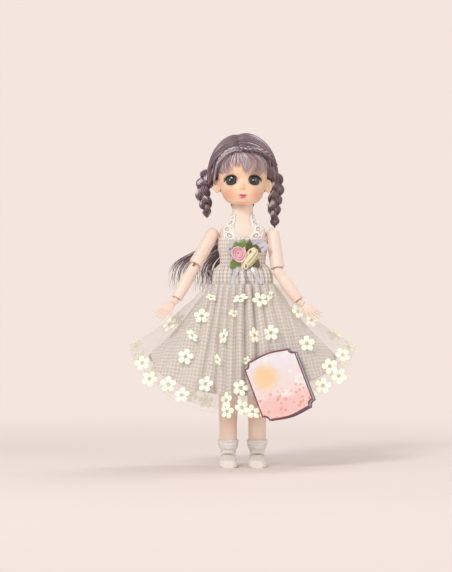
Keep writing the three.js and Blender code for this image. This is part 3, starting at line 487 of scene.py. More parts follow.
thigh_shape = (10.6, [(0.14, 0.85), (0.45, 1.0), (0.75, 0.93), (0.92, 0.87)])
shin_shape = (8.6, [(0.14, 0.93), (0.3, 1.0), (0.5, 1.0), (0.75, 0.92)])
limb_sides = 56


def limb_profile(upper, shape, length, lower):
    """Radius and height over the pivot, from the top of the ball round to the bottom of the cup."""
    radius, shares = shape
    body = length - lower["rim_lift"]
    ball = [(upper["ball"] * sin(a), -upper["ball"] * cos(a)) for a in np.linspace(0.02, pi / 2, 14)]
    down = np.array([0] + [body * s for s, _ in shares] + [body])
    wide = np.array([upper["ball"]] + [radius * r for _, r in shares] + [lower["rim"]])
    along = np.linspace(0.03, 1, 34) * (body - 0.5)
    flank = list(zip(through(down, wide, along), along))
    bead = 0.5
    corner = [
        (lower["rim"] - bead + bead * cos(a), body - bead + bead * sin(a))
        for a in np.linspace(0, pi / 2, 5)
    ]
    cup_radius = lower["ball"] + 0.4
    mouth = math.sqrt(cup_radius**2 - lower["rim_lift"] ** 2)
    mouth_angle = math.acos(lower["rim_lift"] / cup_radius)
    cup = [
        (cup_radius * sin(a), length - cup_radius * cos(a))
        for a in np.linspace(mouth_angle, 0.02, 10)
    ]
    return np.array(ball + flank + corner + [(mouth + 0.3, body)] + cup) * mm * (1, -1)


def turned_piece(name, profile, matrix, sides=limb_sides):
    """A solid of revolution about Z, from radii and heights, then placed."""
    angles = full_turn(sides)
    ring = np.stack([np.cos(angles), np.sin(angles)], -1)
    made = closed_loft(name, np.array([np.column_stack([ring * r, np.full(sides, z)]) for r, z in profile]))
    made.data.transform(matrix)
    return made


def toward(way):
    """The turn that takes +Z to a direction."""
    return Vector((0, 0, 1)).rotation_difference(way).to_matrix().to_4x4()


def limb_matrix(root, tip, hinge):
    """A frame at root, with +Z away from tip and +X along the hinge."""
    up = (root - tip).normalized()
    across = (hinge - up * hinge.dot(up)).normalized()
    deep = up.cross(across)
    return Matrix.Translation(root) @ Matrix((across, deep, up)).transposed().to_4x4()


def place_of(joint):
    return Vector(joints[joint]["pos_m"])


def axis_of(joint):
    return Vector(joints[joint]["axis"]).normalized()


def prism(name, matrix, half, outline):
    """A closed slab across X, with an outline of (y, z) points."""
    count = len(outline)
    points = [(x, y, z) for x in (-half, half) for y, z in outline]
    faces = [list(range(count)), list(range(2 * count - 1, count - 1, -1))]
    faces += [[j, (j + 1) % count, count + (j + 1) % count, count + j] for j in range(count)]
    made = outward(make_object(name, points, faces))
    made.data.transform(matrix)
    return made


def fan_outline(reach, wing, start, end):
    """The room that a bar needs while it swings between two angles from +Z towards -Y."""

    def at(degrees, along, aside):
        a = radians(degrees)
        return (-(along * sin(a) + aside * cos(a)), along * cos(a) - aside * sin(a))

    sweep = [at(start + (end - start) * t, reach, 0) for t in even(9)]
    return [at(start, 0, -wing), at(start, reach, -wing)] + sweep + [at(end, reach, wing), at(end, 0, wing)]


def slot_cutters(joint, matrix, start, end):
    """The room for a peg's disc, and for its tongue over the angles that it takes."""
    half = (joint["tongue"] / 2 + 0.3) * mm
    disc = (joint["disc"] + 0.3) * mm
    round_about = [(disc * sin(a), disc * cos(a)) for a in full_turn(24)]
    sweep = fan_outline((joint["ball"] + 3) * mm, (joint["neck"] / 2 + 0.3) * mm, start, end)
    return prism("pocket", matrix, half, round_about), prism("sweep", matrix, half, sweep)


# %% Arms and legs
limit = {name: joint["range_deg"] for name, joint in joints.items()}
# Upper joint, lower joint, way of the hinge, their sizes, shape, names of piece and node, slot in degrees
limb_table = [
    ("shoulder_raise", "elbow_bend", 1, shoulder, elbow, upper_arm_shape, "arm_upper", "upper_arm", (10, 85)),
    (
        "elbow_bend", "wrist_bend", -1, elbow, wrist, forearm_shape, "arm_lower", "forearm",
        (0, limit["elbow_bend_right"][1]),
    ),
    (
        "hip_spread", "knee_bend", 1, hip, knee, thigh_shape, "leg_upper", "thigh",
        (90 - limit["hip_spread_right"][1], 90),
    ),
    (
        "knee_bend", "ankle_bend", -1, knee, ankle, shin_shape, "leg_lower", "shin",
        (0, limit["knee_bend_right"][1]),
    ),
]
for side in ("right", "left"):
    for above, below, way, ball, next_ball, shape, name, node, slot in limb_table:
        root, tip = place_of(f"{above}_{side}"), place_of(f"{below}_{side}")
        matrix = limb_matrix(root, tip, way * axis_of(f"{above}_{side}"))
        profile = limb_profile(ball, shape, (tip - root).length / mm, next_ball)
        made = turned_piece(f"{name}_{side}", profile, matrix)
        cut_away(made, *slot_cutters(ball, matrix, *slot))
        dress(soft_edges(made), skin_plastic, f"{side}_{node}", "skin", f"{node}_{side}")
print("limbs", 2 * len(limb_table))
for name, node in frame["nodes"].items():
    if "_peg" in name or name == "head_socket":
        only_material(node, peg_plastic)

# %% [markdown]
# ## Torso
# The torso is a front and a back shell glued along the sides, with the neck moulded on. It is a loft:
# one row of half sizes for each height, and a ring that is a little squarer than an ellipse. The
# sockets for the arms and the room for the legs are cut out, and a hairline gap shows the glue seam.

# %% Torso rings
hip_height = place_of("hip_swing_right").z
neck_top = 89.5 * mm
chest = (20.6 * mm, 13.4 * mm)
squareness = 2.3
torso_table = np.array([
    (-0.09, 0.24, 0.52), (-0.056, 0.73, 0.86), (0, 1.04, 1.045), (0.067, 1.08, 1.09), (0.19, 1.03, 1.0),
    (0.335, 0.95, 0.88), (0.413, 0.94, 0.89), (0.514, 0.97, 0.985), (0.626, 0.99, 1.0), (0.704, 1.0, 0.925),
    (0.76, 0.94, 0.81), (0.793, 0.78, 0.73), (0.827, 0.6, 0.7), (0.88, 0.475, 0.687), (1, 0.447, 0.687),
])


def torso_size(rise):
    return [half * share for half, share in zip(chest, table_at(torso_table, rise / neck_top))]


def squarish(angle, power):
    c, s = np.cos(angle), np.sin(angle)
    return np.sign(c) * np.abs(c) ** (2 / power), np.sign(s) * np.abs(s) ** (2 / power)


def torso_ring(rise, lift, angles):
    half_x, half_y = torso_size(rise)
    across, deep = squarish(angles, squareness)
    return np.column_stack(
        [(half_x + lift) * across, (half_y + lift) * deep, np.full(len(angles), hip_height + rise)]
    )


def cutter_ball(radius, centre):
    work = bmesh.new()
    bmesh.ops.create_icosphere(work, subdivisions=4, radius=radius, matrix=Matrix.Translation(centre))
    return bmesh_object("ball cutter", work)


def cutter_rod(radius, start, end, sides=32):
    way = Vector(end) - Vector(start)
    profile = [(radius, 0), (radius, way.length)]
    return turned_piece("rod cutter", profile, Matrix.Translation(start) @ toward(way), sides)


def cutter_block(low, high):
    work = bmesh.new()
    bmesh.ops.create_cube(work, size=1)
    size, middle = Vector(high) - Vector(low), (Vector(high) + Vector(low)) / 2
    bmesh.ops.transform(
        work, matrix=Matrix.Translation(middle) @ Matrix.Diagonal((*size, 1)), verts=work.verts
    )
    return bmesh_object("block cutter", work)


# %% Torso shells
round_torso = full_turn(96)
rises = np.linspace(-0.088, 1, 90) * neck_top
torso = closed_loft("torso_shells", np.array([torso_ring(rise, 0, round_torso) for rise in rises]))
leg_room = 9.9 * mm
for side in ("right", "left"):
    ball_at, hip_at = place_of(f"shoulder_raise_{side}"), place_of(f"hip_spread_{side}")
    inner = Vector((0.4 * ball_at.x, ball_at.y, ball_at.z))
    cut_away(torso, cutter_ball((shoulder["ball"] + 0.3) * mm, ball_at), cutter_rod(2.5 * mm, inner, ball_at))
    cut_away(
        torso,
        cutter_ball((hip["ball"] + 0.3) * mm, hip_at),
        cutter_rod(3.1 * mm, Vector((0, 0, hip_at.z)), hip_at),
    )
    cut_away(
        torso,
        prism("leg room", Matrix.Translation(hip_at), leg_room, fan_outline(24 * mm, leg_room, 95, 200)),
    )
pivot = place_of("head_nod")
cut_away(torso, cutter_rod(3.1 * mm, pivot - Vector((0, 0, 20.4 * mm)), pivot))
far = 0.2
cut_away(torso, cutter_block((-far, -0.1 * mm, 0), (far, 0.1 * mm, far + hip_height)))
dress(soft_edges(torso), skin_plastic, "torso", "skin", "torso_front", "torso_back")
print("torso faces", len(torso.data.polygons))

# %% [markdown]
# ## Hands and feet
# Small moulded hands and feet start from the solids themselves. A copy is welded, its surface is
# rebuilt evenly so that fingers and palm flow into each other, and then it is smoothed.

# %% Hands and feet
def rounded_copy(node, name, voxel, smoothing):
    source = frame["nodes"][node]
    made = new_object(name, source.data.copy())
    made.data.transform(source.matrix_world)
    outward(made)
    rebuilt = made.modifiers.new("even", "REMESH")
    rebuilt.mode = "VOXEL"
    rebuilt.voxel_size = voxel
    settled(made)
    softer = made.modifiers.new("softer", "LAPLACIANSMOOTH")
    softer.iterations = smoothing
    softer.lambda_factor = 0.35
    softer.use_volume_preserve = True
    return smooth(settled(made))


for side in ("right", "left"):
    hand = rounded_copy(f"hand_{side}", f"moulded_hand_{side}", 0.28 * mm, 6)
    dress(hand, skin_plastic, f"{side}_hand", "skin", f"hand_{side}")
    foot = rounded_copy(f"foot_{side}", f"moulded_foot_{side}", 0.5 * mm, 6)
    dress(foot, skin_plastic, f"{side}_foot", "skin", f"foot_{side}")
    print(side, "hand faces", len(hand.data.polygons), "foot faces", len(foot.data.polygons))

# %% [markdown]
# ## Socks and shoes
# Ribbed ankle socks are a tube knitted a little wider than the leg, with a folded top. The shoes are
# thin moulded vinyl with a flat sole, a rolled mouth and a strap over the instep.

# %% Knit group and sock material
weave_group, given, result = new_group(
    "woven threads",
    "Shader",
    [("Place", "Vector"), ("Threads per metre", "Float", 2500.0), ("Slub", "Float", 0.5)],
    [("Height", "Float"), ("Wear", "Float")],
)
scaled = vector_math(weave_group, "SCALE", {0: given["Place"], "Scale": given["Threads per metre"]})
split = axes_of(weave_group, scaled[0])
waves = []
for way in ("X", "Y"):
    wave = calculate(weave_group, "SINE", times(weave_group, split[way], pi))
    waves.append(calculate(weave_group, "ABSOLUTE", wave))
slubs = noise_at(weave_group, given["Place"], 420, 3)
threads = times(weave_group, *waves)
height = calculate(weave_group, "ADD", threads, times(weave_group, slubs, given["Slub"]))
set_inputs(result, {"Height": height, "Wear": ramp(weave_group, slubs, 0.35, 0.7)})


def cloth_material(name, base, worn, threads_per_metre, depth, place=uv_place):
    made, tree, shader = new_material(name)
    values = {"Place": place(tree), "Threads per metre": threads_per_metre, "Slub": 0.5}
    given = use_group(tree, weave_group, values)
    add_relief(shader, given["Height"], 0.6, depth)
    tint = mix_colours(tree, given["Wear"], base, worn)
    set_inputs(shader, {"Base Color": tint, "Roughness": 0.85, "Sheen Weight": 0.2})
    return made


sock_knit = cloth_material("sock knit", "#f8f5f0", "#ece6df", 1100, 0.25)

# %% Socks
sock_sides, rib_count = 120, 40
for side in ("right", "left"):
    at = place_of(f"ankle_bend_{side}")
    angles = full_turn(sock_sides)
    steps = [
        (6.85, -7.6), (6.75, -6.4), (6.8, -5.2), (7.5, -3.6), (8.4, -1.4), (8.9, 0.6), (9.05, 2.4),
        (9.35, 2.9), (9.5, 3.6), (9.35, 4.4), (8.95, 4.6), (8.55, 4.3), (8.35, 3.2), (8.35, 0.9),
        (7.7, -1.0), (6.9, -3.4), (6.35, -5.0), (6.3, -7.4),
    ]
    length = even(90)
    shape = np.array(steps)
    reach = np.r_[0, np.cumsum(np.hypot(*np.diff(shape, axis=0).T))]
    reach /= reach[-1]
    radius, height = through(reach, shape[:, 0], length), through(reach, shape[:, 1], length)
    rib = 0.09 * np.sin(rib_count * angles)
    outer = (length < 0.62).astype(float)
    crumple = 0.16 * np.sin(1.9 * height[:, None] + 1.2 * np.sin(3 * angles)[None, :])
    rings = np.stack(
        [
            (radius[:, None] + outer[:, None] * (rib[None, :] + crumple)) * np.cos(angles)[None, :],
            (radius[:, None] + outer[:, None] * (rib[None, :] + crumple)) * np.sin(angles)[None, :],
            np.repeat(height[:, None], sock_sides, 1),
        ],
        -1,
    ) * mm
    rings = np.concatenate([rings, rings[:1]])
    around = np.linspace(0, 0.05, sock_sides + 1)
    uv = np.stack(np.meshgrid(around, np.linspace(0, 0.026, len(rings))), -1)
    sock = grid_object(f"ribbed_sock_{side}", rings, uv, round_about=True)
    sock.data.transform(Matrix.Translation(at))
    outward(sock)
    sock.data.materials.append(sock_knit)
    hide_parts(f"sock_{side}")
    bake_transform(sock)
print("sock ribs", rib_count)

# %% Shoes
for side in ("right", "left"):
    shoe = rounded_copy(f"shoe_{side}", f"moulded_shoe_{side}", 0.42 * mm, 3)
    at = place_of(f"ankle_bend_{side}")
    floor = cutter_block((at.x - 0.02, -0.06, -0.01), (at.x + 0.02, 0.06, 0))
    cut_away(shoe, floor)
    smooth(shoe)
    dress(shoe, shoe_plastic, f"{side}_foot", "shoe", f"shoe_{side}")
    arch = np.linspace(-1, 1, 40)
    low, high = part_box(f"shoe_{side}")
    middle = (low.x + high.x) / 2
    path = np.column_stack(
        [
            middle + 8.7 * mm * np.sin(arch * pi / 2),
            np.full(40, at.y - 10.5 * mm),
            7.4 * mm + 5.2 * mm * np.cos(arch * pi / 2),
        ]
    )
    section = [(cos(a) * 0.45 * mm, sin(a) * 1.5 * mm) for a in full_turn(14)]
    rings = []
    for i, p in enumerate(path):
        away = Vector((sin(arch[i] * pi / 2), 0, cos(arch[i] * pi / 2)))
        rings.append([Vector(p) + away * u + Vector((0, 1, 0)) * v for u, v in section])
    strap = closed_loft(f"shoe_strap_{side}", np.array(rings))
    dress(strap, shoe_plastic, f"{side}_foot", "shoe")
print("shoes done")

# %% [markdown]
# ## Face
# The head is soft vinyl, cast and then painted. Its form is a loft of ovals from chin to crown, and
# the features are gentle swellings and hollows pushed into it: a small nose, full cheeks, lips with a
# groove between them, and a dip round each eye. Two almond holes are cut for the glass-like eyes.

# %% Head form
head_at = place_of("head_nod")
head_point = np.array(head_at)
face_half_width, head_half_depth = 22 * mm, 23.4 * mm
chin_drop, skull_rise = 9.5 * mm, 48 * mm
head_table = np.array([
    (0, 0.26, -0.72, -0.4), (0.03, 0.52, -0.85, 0.1), (0.1, 0.74, -0.92, 0.58), (0.185, 0.855, -0.95, 0.8),
    (0.3, 0.94, -0.94, 0.95), (0.5, 1.02, -0.9, 1.07), (0.69, 0.99, -0.87, 1.05), (0.83, 0.86, -0.74, 0.92),
    (0.93, 0.6, -0.48, 0.66), (0.985, 0.3, -0.2, 0.36),
])
eye_spread, eye_rise = 10.4 * mm, 12.2 * mm


def head_size(rise):
    """Half width, half depth and middle of the head at a height over its pivot."""
    share = (rise + chin_drop) / (chin_drop + skull_rise)
    width, front, back = table_at(head_table, share)
    return face_half_width * width, head_half_depth * (back - front) / 2, head_half_depth * (back + front) / 2


def swell(x, z, at_x, at_z, wide, tall):
    return np.exp(-(((x - at_x) / (wide * mm)) ** 2 + ((z - at_z) / (tall * mm)) ** 2))


# Height of each feature, its place across (both sides) and up, its width and its tallness, in mm
feature_table = [
    (2.5, 0, 6.9, 1.7, 2.2), (0.9, 0, 10.5, 1.5, 4.0), (0.55, 2.0, 5.9, 0.9, 0.9),
    (-0.7, 0.9, 4.9, 0.6, 0.45), (-2.4, 0, 14.5, 5.2, 5.0), (-1.0, 10.4, 13, 6.2, 5.0),
    (0.5, 9.8, 7.2, 4.5, 1.6), (0.9, 12.5, -0.5, 6.5, 6.5), (0.9, 0, -1.0, 4.6, 3.6),
    (0.95, 1.3, 0.15, 1.6, 0.85), (-0.35, 0, 0.7, 0.6, 0.5), (1.1, 0, -2.1, 1.9, 0.85),
    (-0.95, 0, -0.9, 3.3, 0.3), (-0.5, 3.7, -0.9, 0.6, 0.8), (-0.6, 0, -4.0, 2.6, 1.0),
    (-0.3, 0, 2.9, 0.6, 1.2), (0.9, 0, -6.9, 3.4, 2.4),
]


def features(x, z):
    """How far the face stands out (towards -Y) from the plain form, in metres."""
    across, up = np.abs(x), z + 0.8 * mm
    out = 0.0
    for height, at_x, at_z, wide, tall in feature_table:
        out = out + height * swell(across, up, at_x * mm, at_z * mm, wide, tall)
    return out * mm


def face_front(x, z):
    """The Y of the head's front surface at a place across and up."""
    half_x, half_y, middle = head_size(z)
    side = np.clip(np.abs(x) / half_x, 0, 0.999)
    return middle - half_y * np.sqrt(1 - side**2) - features(x, z)


turns = np.linspace(-pi, pi, 420, endpoint=False)
turns = turns - 0.62 * np.sin(turns)
rise_steps = np.linspace(-chin_drop + 0.1 * mm, skull_rise - 0.9 * mm, 190)
rings = []
for rise in rise_steps:
    half_x, half_y, middle = head_size(rise)
    x = half_x * np.sin(turns)
    y = middle - half_y * np.cos(turns)
    front = within(np.cos(turns) * 2.2)
    rings.append(np.column_stack([x, y - front * features(x, rise), np.full(len(x), rise)]))
face = closed_loft("vinyl_head", np.array(rings))
print("head faces", len(face.data.polygons))

# %% Eye openings and the hollow under the head
eye_turn = radians(15)
gaze_middle = [Vector((side * eye_spread, -17.9 * mm, eye_rise)) for side in (-1, 1)]
lid_steps = full_turn(72)


def lid_outline(side, wider=0.0):
    """The opening's edge from the front: rounder above, flatter below, the outer corner a little lower."""
    across = (5.2 * mm + wider) * np.cos(lid_steps)
    tall = np.where(np.sin(lid_steps) > 0, 4.5 * mm + wider, 4.0 * mm + wider)
    up = tall * np.abs(np.sin(lid_steps)) ** 0.9 * np.sign(np.sin(lid_steps)) - 0.06 * across
    return side * (eye_spread + across), eye_rise + up


for side in (-1, 1):
    x, z = lid_outline(side)
    tube = np.array([np.column_stack([x, np.full(len(x), y), z]) for y in (-30 * mm, -11 * mm)])
    cut_away(face, closed_loft("eye hole", tube))
room = cutter_ball(8.8 * mm, Vector((0, 0, 0)))
cut_away(face, room, cutter_rod(11.6 * mm, Vector((0, 0, -14 * mm)), Vector((0, 0, 0.2 * mm)), 64))
print("after the cuts", len(face.data.polygons))

# %% Ears
def ear(side):
    """A shallow shell that faces forward and outward: a rolled rim round a hollow, with a lobe below."""
    rows, columns = 40, 64
    v = np.linspace(0, pi, rows)[:, None]
    u = full_turn(columns)[None, :]
    tall = 6.2 * np.cos(v) * np.ones_like(u)
    narrow = 1 - 0.26 * within(-tall / 6.2)
    across = 4.7 * np.sin(v) * np.sin(u) * narrow
    thick = 1.5 * np.sin(v) * np.cos(u)
    hollow = 1.25 * np.exp(-((across - 0.3) / 1.9) ** 2 - ((tall - 0.9) / 3.0) ** 2)
    rim = 0.4 * np.exp(-((np.hypot(across / 3.9, tall / 5.2) - 1) / 0.2) ** 2)
    thick = thick + np.where(thick > 0, rim - hollow, 0)
    lean = radians(33)
    x = across * cos(lean) + thick * sin(lean)
    y = across * sin(lean) - thick * cos(lean)
    grid = np.stack([side * (22.6 + x - 0.05 * tall), 0.6 + y, 8.0 + tall], -1) * mm
    made = closed_loft("ear", grid[1:-1])
    return made


head_pieces = [face] + [ear(side) for side in (-1, 1)]
for piece in head_pieces:
    piece.data.transform(Matrix.Translation(head_at))
head = joined_object("painted_head", head_pieces)

# %% [markdown]
# ## Face paint
# The blush, the shade round the eyes and the lips are sprayed on the vinyl. Each is a soft spot of
# colour placed from the front, so one small shader group that draws such a spot is enough.

# %% Painted spot group
spot_group, given, result = new_group(
    "painted spot",
    "Shader",
    [
        ("Place", "Vector"),
        ("Centre", "Vector", (0, 0, 0)),
        ("Size", "Vector", (1, 1, 1)),
        ("Turn", "Float", 0.0),
        ("Edge", "Float", 0.3),
    ],
    [("Mask", "Float")],
)
moved = vector_math(spot_group, "SUBTRACT", {0: given["Place"], 1: given["Centre"]})[0]
turned = add_node(
    spot_group, "ShaderNodeVectorRotate", {"Vector": moved, "Angle": given["Turn"], "Axis": (0, 1, 0)}
)
sized = vector_math(spot_group, "DIVIDE", {0: turned.outputs[0], 1: given["Size"]})[0]
span = vector_math(spot_group, "LENGTH", {0: sized})["Value"]
edges = [calculate(spot_group, way, 1.0, given["Edge"]) for way in ("ADD", "SUBTRACT")]
set_inputs(result, {"Mask": ramp(spot_group, span, *edges)})

face_vinyl, tree, shader = new_material("painted face vinyl")
face_place = object_place(tree)
skin = vinyl(tree, face_place, "#f8d3b4", "#f4c4a4", 0.5)
tint = skin["Colour"]


def painted(tint, x, z, wide, tall, shade, strength, edge=0.3, turn=0.0):
    """The tint with one soft spot on it, its place and size in millimetres of the front view."""
    values = {
        "Place": face_place,
        "Centre": (x * mm, head_at.y - 19 * mm, head_at.z + (z - 0.8) * mm),
        "Size": (wide * mm, 12 * mm, tall * mm),
        "Turn": radians(turn),
        "Edge": edge,
    }
    mask = use_group(tree, spot_group, values)["Mask"]
    return mix_colours(tree, times(tree, mask, strength), tint, shade)


for side in (-1, 1):
    tint = painted(tint, side * 13.5, 0.5, 6.0, 5.0, "#ef9f86", 0.55, edge=0.75)
    tint = painted(tint, side * 10.4, 15.5, 6.8, 4.6, "#dba48c", 0.5, edge=0.6)
    tint = painted(tint, side * 10.6, 12.6, 5.9, 4.9, "#a8705f", 0.5, edge=0.22)
    tint = painted(tint, side * 1.5, 4.9, 0.6, 0.4, "#d08a72", 0.5, edge=0.6)
tint = painted(tint, 0, -6.8, 3.5, 2.4, "#f2ae96", 0.45, edge=0.7)
tint = painted(tint, 0, -1.0, 3.6, 1.7, "#ee8a8e", 0.5, edge=0.35)
for side in (-1, 1):
    tint = painted(tint, side * 1.3, -0.2, 2.0, 0.95, "#e05a7c", 0.9, edge=0.25, turn=side * 14)
tint = painted(tint, 0, -2.0, 2.3, 1.15, "#f0799a", 0.92, edge=0.25)
tint = painted(tint, 0, -0.95, 3.0, 0.2, "#c03a5c", 0.8, edge=0.6)
finish_vinyl(shader, skin, tint, 0.15)
dress(soft_edges(head, 50), face_vinyl, "head", "face", "face", "head_cap")
print("paint nodes", len(tree.nodes))

# %% [markdown]
# ## Eyes
# Each eye is a shallow glass-like dome set behind its opening and turned a little outwards. The iris
# is charcoal with a darker rim, and two small painted highlights sit over it: printed eye lights, as
# on the real eye, that also stand in for the lamp's glint on the glass. Dark lashes fan from the
# upper lid, longest at the outer corner.

# %% Eyes
iris_material, tree, shader = new_material("dark glass eye")
place = object_place(tree)
mirrored = vector_math(tree, "ABSOLUTE", {0: place})[0]
eye_middle = (eye_spread, 0, head_at.z + eye_rise)


def ring_mask(radius, edge, centre, at):
    """1 inside a circle of the front view, whatever the depth."""
    flat = vector_math(tree, "MULTIPLY", {0: at, 1: (1, 0, 1)})[0]
    values = {"Place": flat, "Centre": centre, "Size": (radius * mm, 1, radius * mm), "Edge": edge}
    return use_group(tree, spot_group, values)["Mask"]


rays = noise_at(tree, place, 900, 3)
tint = mix_colours(tree, ring_mask(4.7, 0.06, eye_middle, mirrored), "#ded8d2", "#0d0f10")
warm = mix_colours(tree, rays, "#262a2b", "#454b4a")
tint = mix_colours(tree, ring_mask(4.05, 0.14, eye_middle, mirrored), tint, warm)
tint = mix_colours(tree, ring_mask(2.5, 0.3, eye_middle, mirrored), tint, "#060707")
# Painted highlights on each iris: printed eye lights that also stand in for the lamp's glint on the glass.
for side in (-1, 1):
    light = (side * eye_spread - 1.3 * mm, 0, head_at.z + eye_rise + 0.5 * mm)
    small = (side * eye_spread + 1.7 * mm, 0, head_at.z + eye_rise - 1.4 * mm)
    tint = mix_colours(tree, ring_mask(0.55, 0.4, light, place), tint, "#d4d7da")
    tint = mix_colours(tree, ring_mask(0.4, 0.5, small, place), tint, "#5c6365")
set_inputs(shader, {"Base Color": tint, "Roughness": 0.12, "Coat Weight": 0.35, "Coat Roughness": 0.05})

dome_radius = 9.5 * mm
for side, name in halves:
    axis = Vector((side * sin(eye_turn), -cos(eye_turn), 0))
    middle = gaze_middle[(side + 1) // 2] - axis * dome_radius
    profile = [(sin(a) * dome_radius, cos(a) * dome_radius) for a in np.linspace(0.02, 0.72, 22)]
    profile += [(profile[-1][0] * s, profile[-1][1] - 1.2 * mm) for s in (0.99, 0.5, 0.02)]
    eye = turned_piece(f"glass_eye_{name}", profile, Matrix.Translation(head_at + middle) @ toward(axis), 64)
    dress(eye, iris_material, "head", "eye", f"eye_{name}")
print("eyes look", [round(math.degrees(eye_turn), 1), "degrees outwards"])

# %% [markdown]
# ## Strands
# Lashes, hair and cords are all the same kind of thing: a thin tapering tube along a path. One
# Geometry Nodes tree makes them. It reads a mesh of joined edges with a radius at each point, turns it
# into curves, sweeps a round section along them, and keeps a shade for the material to read.

# %% The strand tree
def named_value(tree, label, kind="FLOAT"):
    made = add_node(tree, "GeometryNodeInputNamedAttribute", {"Name": label}, data_type=kind)
    return made.outputs["Attribute"]


def finish_tree(tree, geometry, material, result):
    """Makes the instances real, gives them their material and sends them out of the tree."""
    whole = add_node(tree, "GeometryNodeRealizeInstances", {"Geometry": geometry}).outputs[0]
    finished = add_node(tree, "GeometryNodeSetMaterial", {"Geometry": whole, "Material": material}).outputs[0]
    set_inputs(result, {"Geometry": finished})


strand_tree, given, result = new_group(
    "strands",
    "Geometry",
    [("Geometry", "Geometry"), ("Sides", "Int", 5), ("Flatness", "Float", 1.0), ("Material", "Material")],
    [("Geometry", "Geometry")],
)
section = {"Resolution": given["Sides"], "Radius": 1}
section = add_node(strand_tree, "GeometryNodeCurvePrimitiveCircle", section).outputs["Curve"]
flat_size = add_node(strand_tree, "ShaderNodeCombineXYZ", {"X": 1, "Y": given["Flatness"]}).outputs[0]
squeezed = add_node(strand_tree, "GeometryNodeTransform", {"Geometry": section, "Scale": flat_size})
swept = {
    "Curve": add_node(strand_tree, "GeometryNodeMeshToCurve", {"Mesh": given["Geometry"]}).outputs["Curve"],
    "Profile Curve": squeezed.outputs["Geometry"],
    "Scale": named_value(strand_tree, "radius_here"),
    "Fill Caps": True,
}
swept = add_node(strand_tree, "GeometryNodeCurveToMesh", swept).outputs["Mesh"]
smoothed = add_node(strand_tree, "GeometryNodeSetShadeSmooth", {"Geometry": swept}).outputs["Geometry"]
finish_tree(strand_tree, smoothed, given["Material"], result)


def run_tree(made, tree, values):
    """Runs a tree on an object with its named inputs set, and keeps the plain mesh."""
    modifier = made.modifiers.new(tree.name, "NODES")
    modifier.node_group = tree
    named = {s.name: s.identifier for s in tree.interface.items_tree if getattr(s, "in_out", "") == "INPUT"}
    for key, value in values.items():
        modifier[named[key]] = value
    settled(made)
    return made


def strands(name, locks, material, sides=5, flatness=1.0):
    """Tubes along paths. Each lock is a path, its radius or radii, and its shade or shades."""
    edges, start = [], 0
    for path, _, _ in locks:
        edges += [(start + i, start + i + 1) for i in range(len(path) - 1)]
        start += len(path)
    mesh = bpy.data.meshes.new(name)
    mesh.from_pydata(np.concatenate([path for path, _, _ in locks]).tolist(), edges, [])
    for place, label in ((1, "radius_here"), (2, "shade")):
        mark_points(
            mesh, label, np.concatenate([np.broadcast_to(lock[place], len(lock[0])) for lock in locks])
        )
    made = new_object(name, mesh)
    run_tree(made, strand_tree, {"Sides": sides, "Flatness": flatness, "Material": material})
    print(name, len(locks), "strands,", len(made.data.polygons), "faces")
    return made


def taper(count, wide, root=0.6, tip=0.1):
    """Radii along a strand: full in the middle, thinner at its root and thinnest at its tip."""
    t = even(count)
    return wide * through([0, 0.15, 0.6, 1], [root, 1, 0.85, tip], t)


# %% Lashes and lid lines
lash_material, tree, shader = new_material("lash fibre")
noise = noise_at(tree, object_place(tree), 700)
set_inputs(shader, {"Base Color": mix_colours(tree, noise, "#1d1718", "#3b2c2b"), "Roughness": 0.5})


def on_face(x, z, lift):
    x, z = np.asarray(x, float), np.asarray(z, float)
    return np.stack([x, face_front(x, z) - lift, z], -1) + head_point


locks = []
for side in (-1, 1):
    lid_x, lid_z = lid_outline(side, 0.12 * mm)
    upper = np.arange(0, 37)
    line = on_face(lid_x[upper], lid_z[upper], 0.05 * mm)
    locks.append((line, (0.26 + 0.42 * np.sin(np.linspace(0.15, 1, 37)[::-1] * pi / 1.15) ** 2) * mm, 0))
    lower = np.arange(38, 70)
    locks.append((on_face(lid_x[lower], lid_z[lower], -0.02 * mm), 0.1 * mm, 0))
    random = np.random.default_rng(11 + side)
    for k in np.linspace(0, 31, 30):
        x, z = np.interp(k, upper, lid_x[upper]), np.interp(k, upper, lid_z[upper])
        outer = 1 - k / 31
        length = (1.1 + 1.7 * outer**1.5) * random.uniform(0.85, 1.1)
        way = np.array([side * (0.15 + 0.95 * outer - 0.2 * (1 - outer)), 0.95 - 0.75 * outer])
        way /= np.linalg.norm(way)
        t = even(7)[:, None]
        root = on_face([x], [z], 0.1 * mm)[0]
        out = np.array([way[0] * 0.75, -0.65, way[1] * 0.75])
        curl = np.array([side * 0.1, -0.1, 0.65])
        locks.append((
            root + (out * t + curl * t**2 * 0.5) * length * mm, taper(7, 0.11 * mm, root=1, tip=0.15), 0
        ))
    flick = even(8)
    for reach, fall, drop in ((2.6, 3.1, 1.4), (2.3, 1.3, 2.2)):
        start_x, start_z = side * (eye_spread + 4.5 * mm), eye_rise + drop * mm
        locks.append((
            on_face(
                start_x + side * reach * mm * flick,
                start_z - fall * mm * flick + 0.5 * mm * flick**2,
                0.35 * mm,
            ),
            taper(8, 0.5 * mm, root=1, tip=0.25),
            0,
        ))
lashes = strands("lashes", locks, lash_material)
dress(lashes, lash_material, "head", "eye")
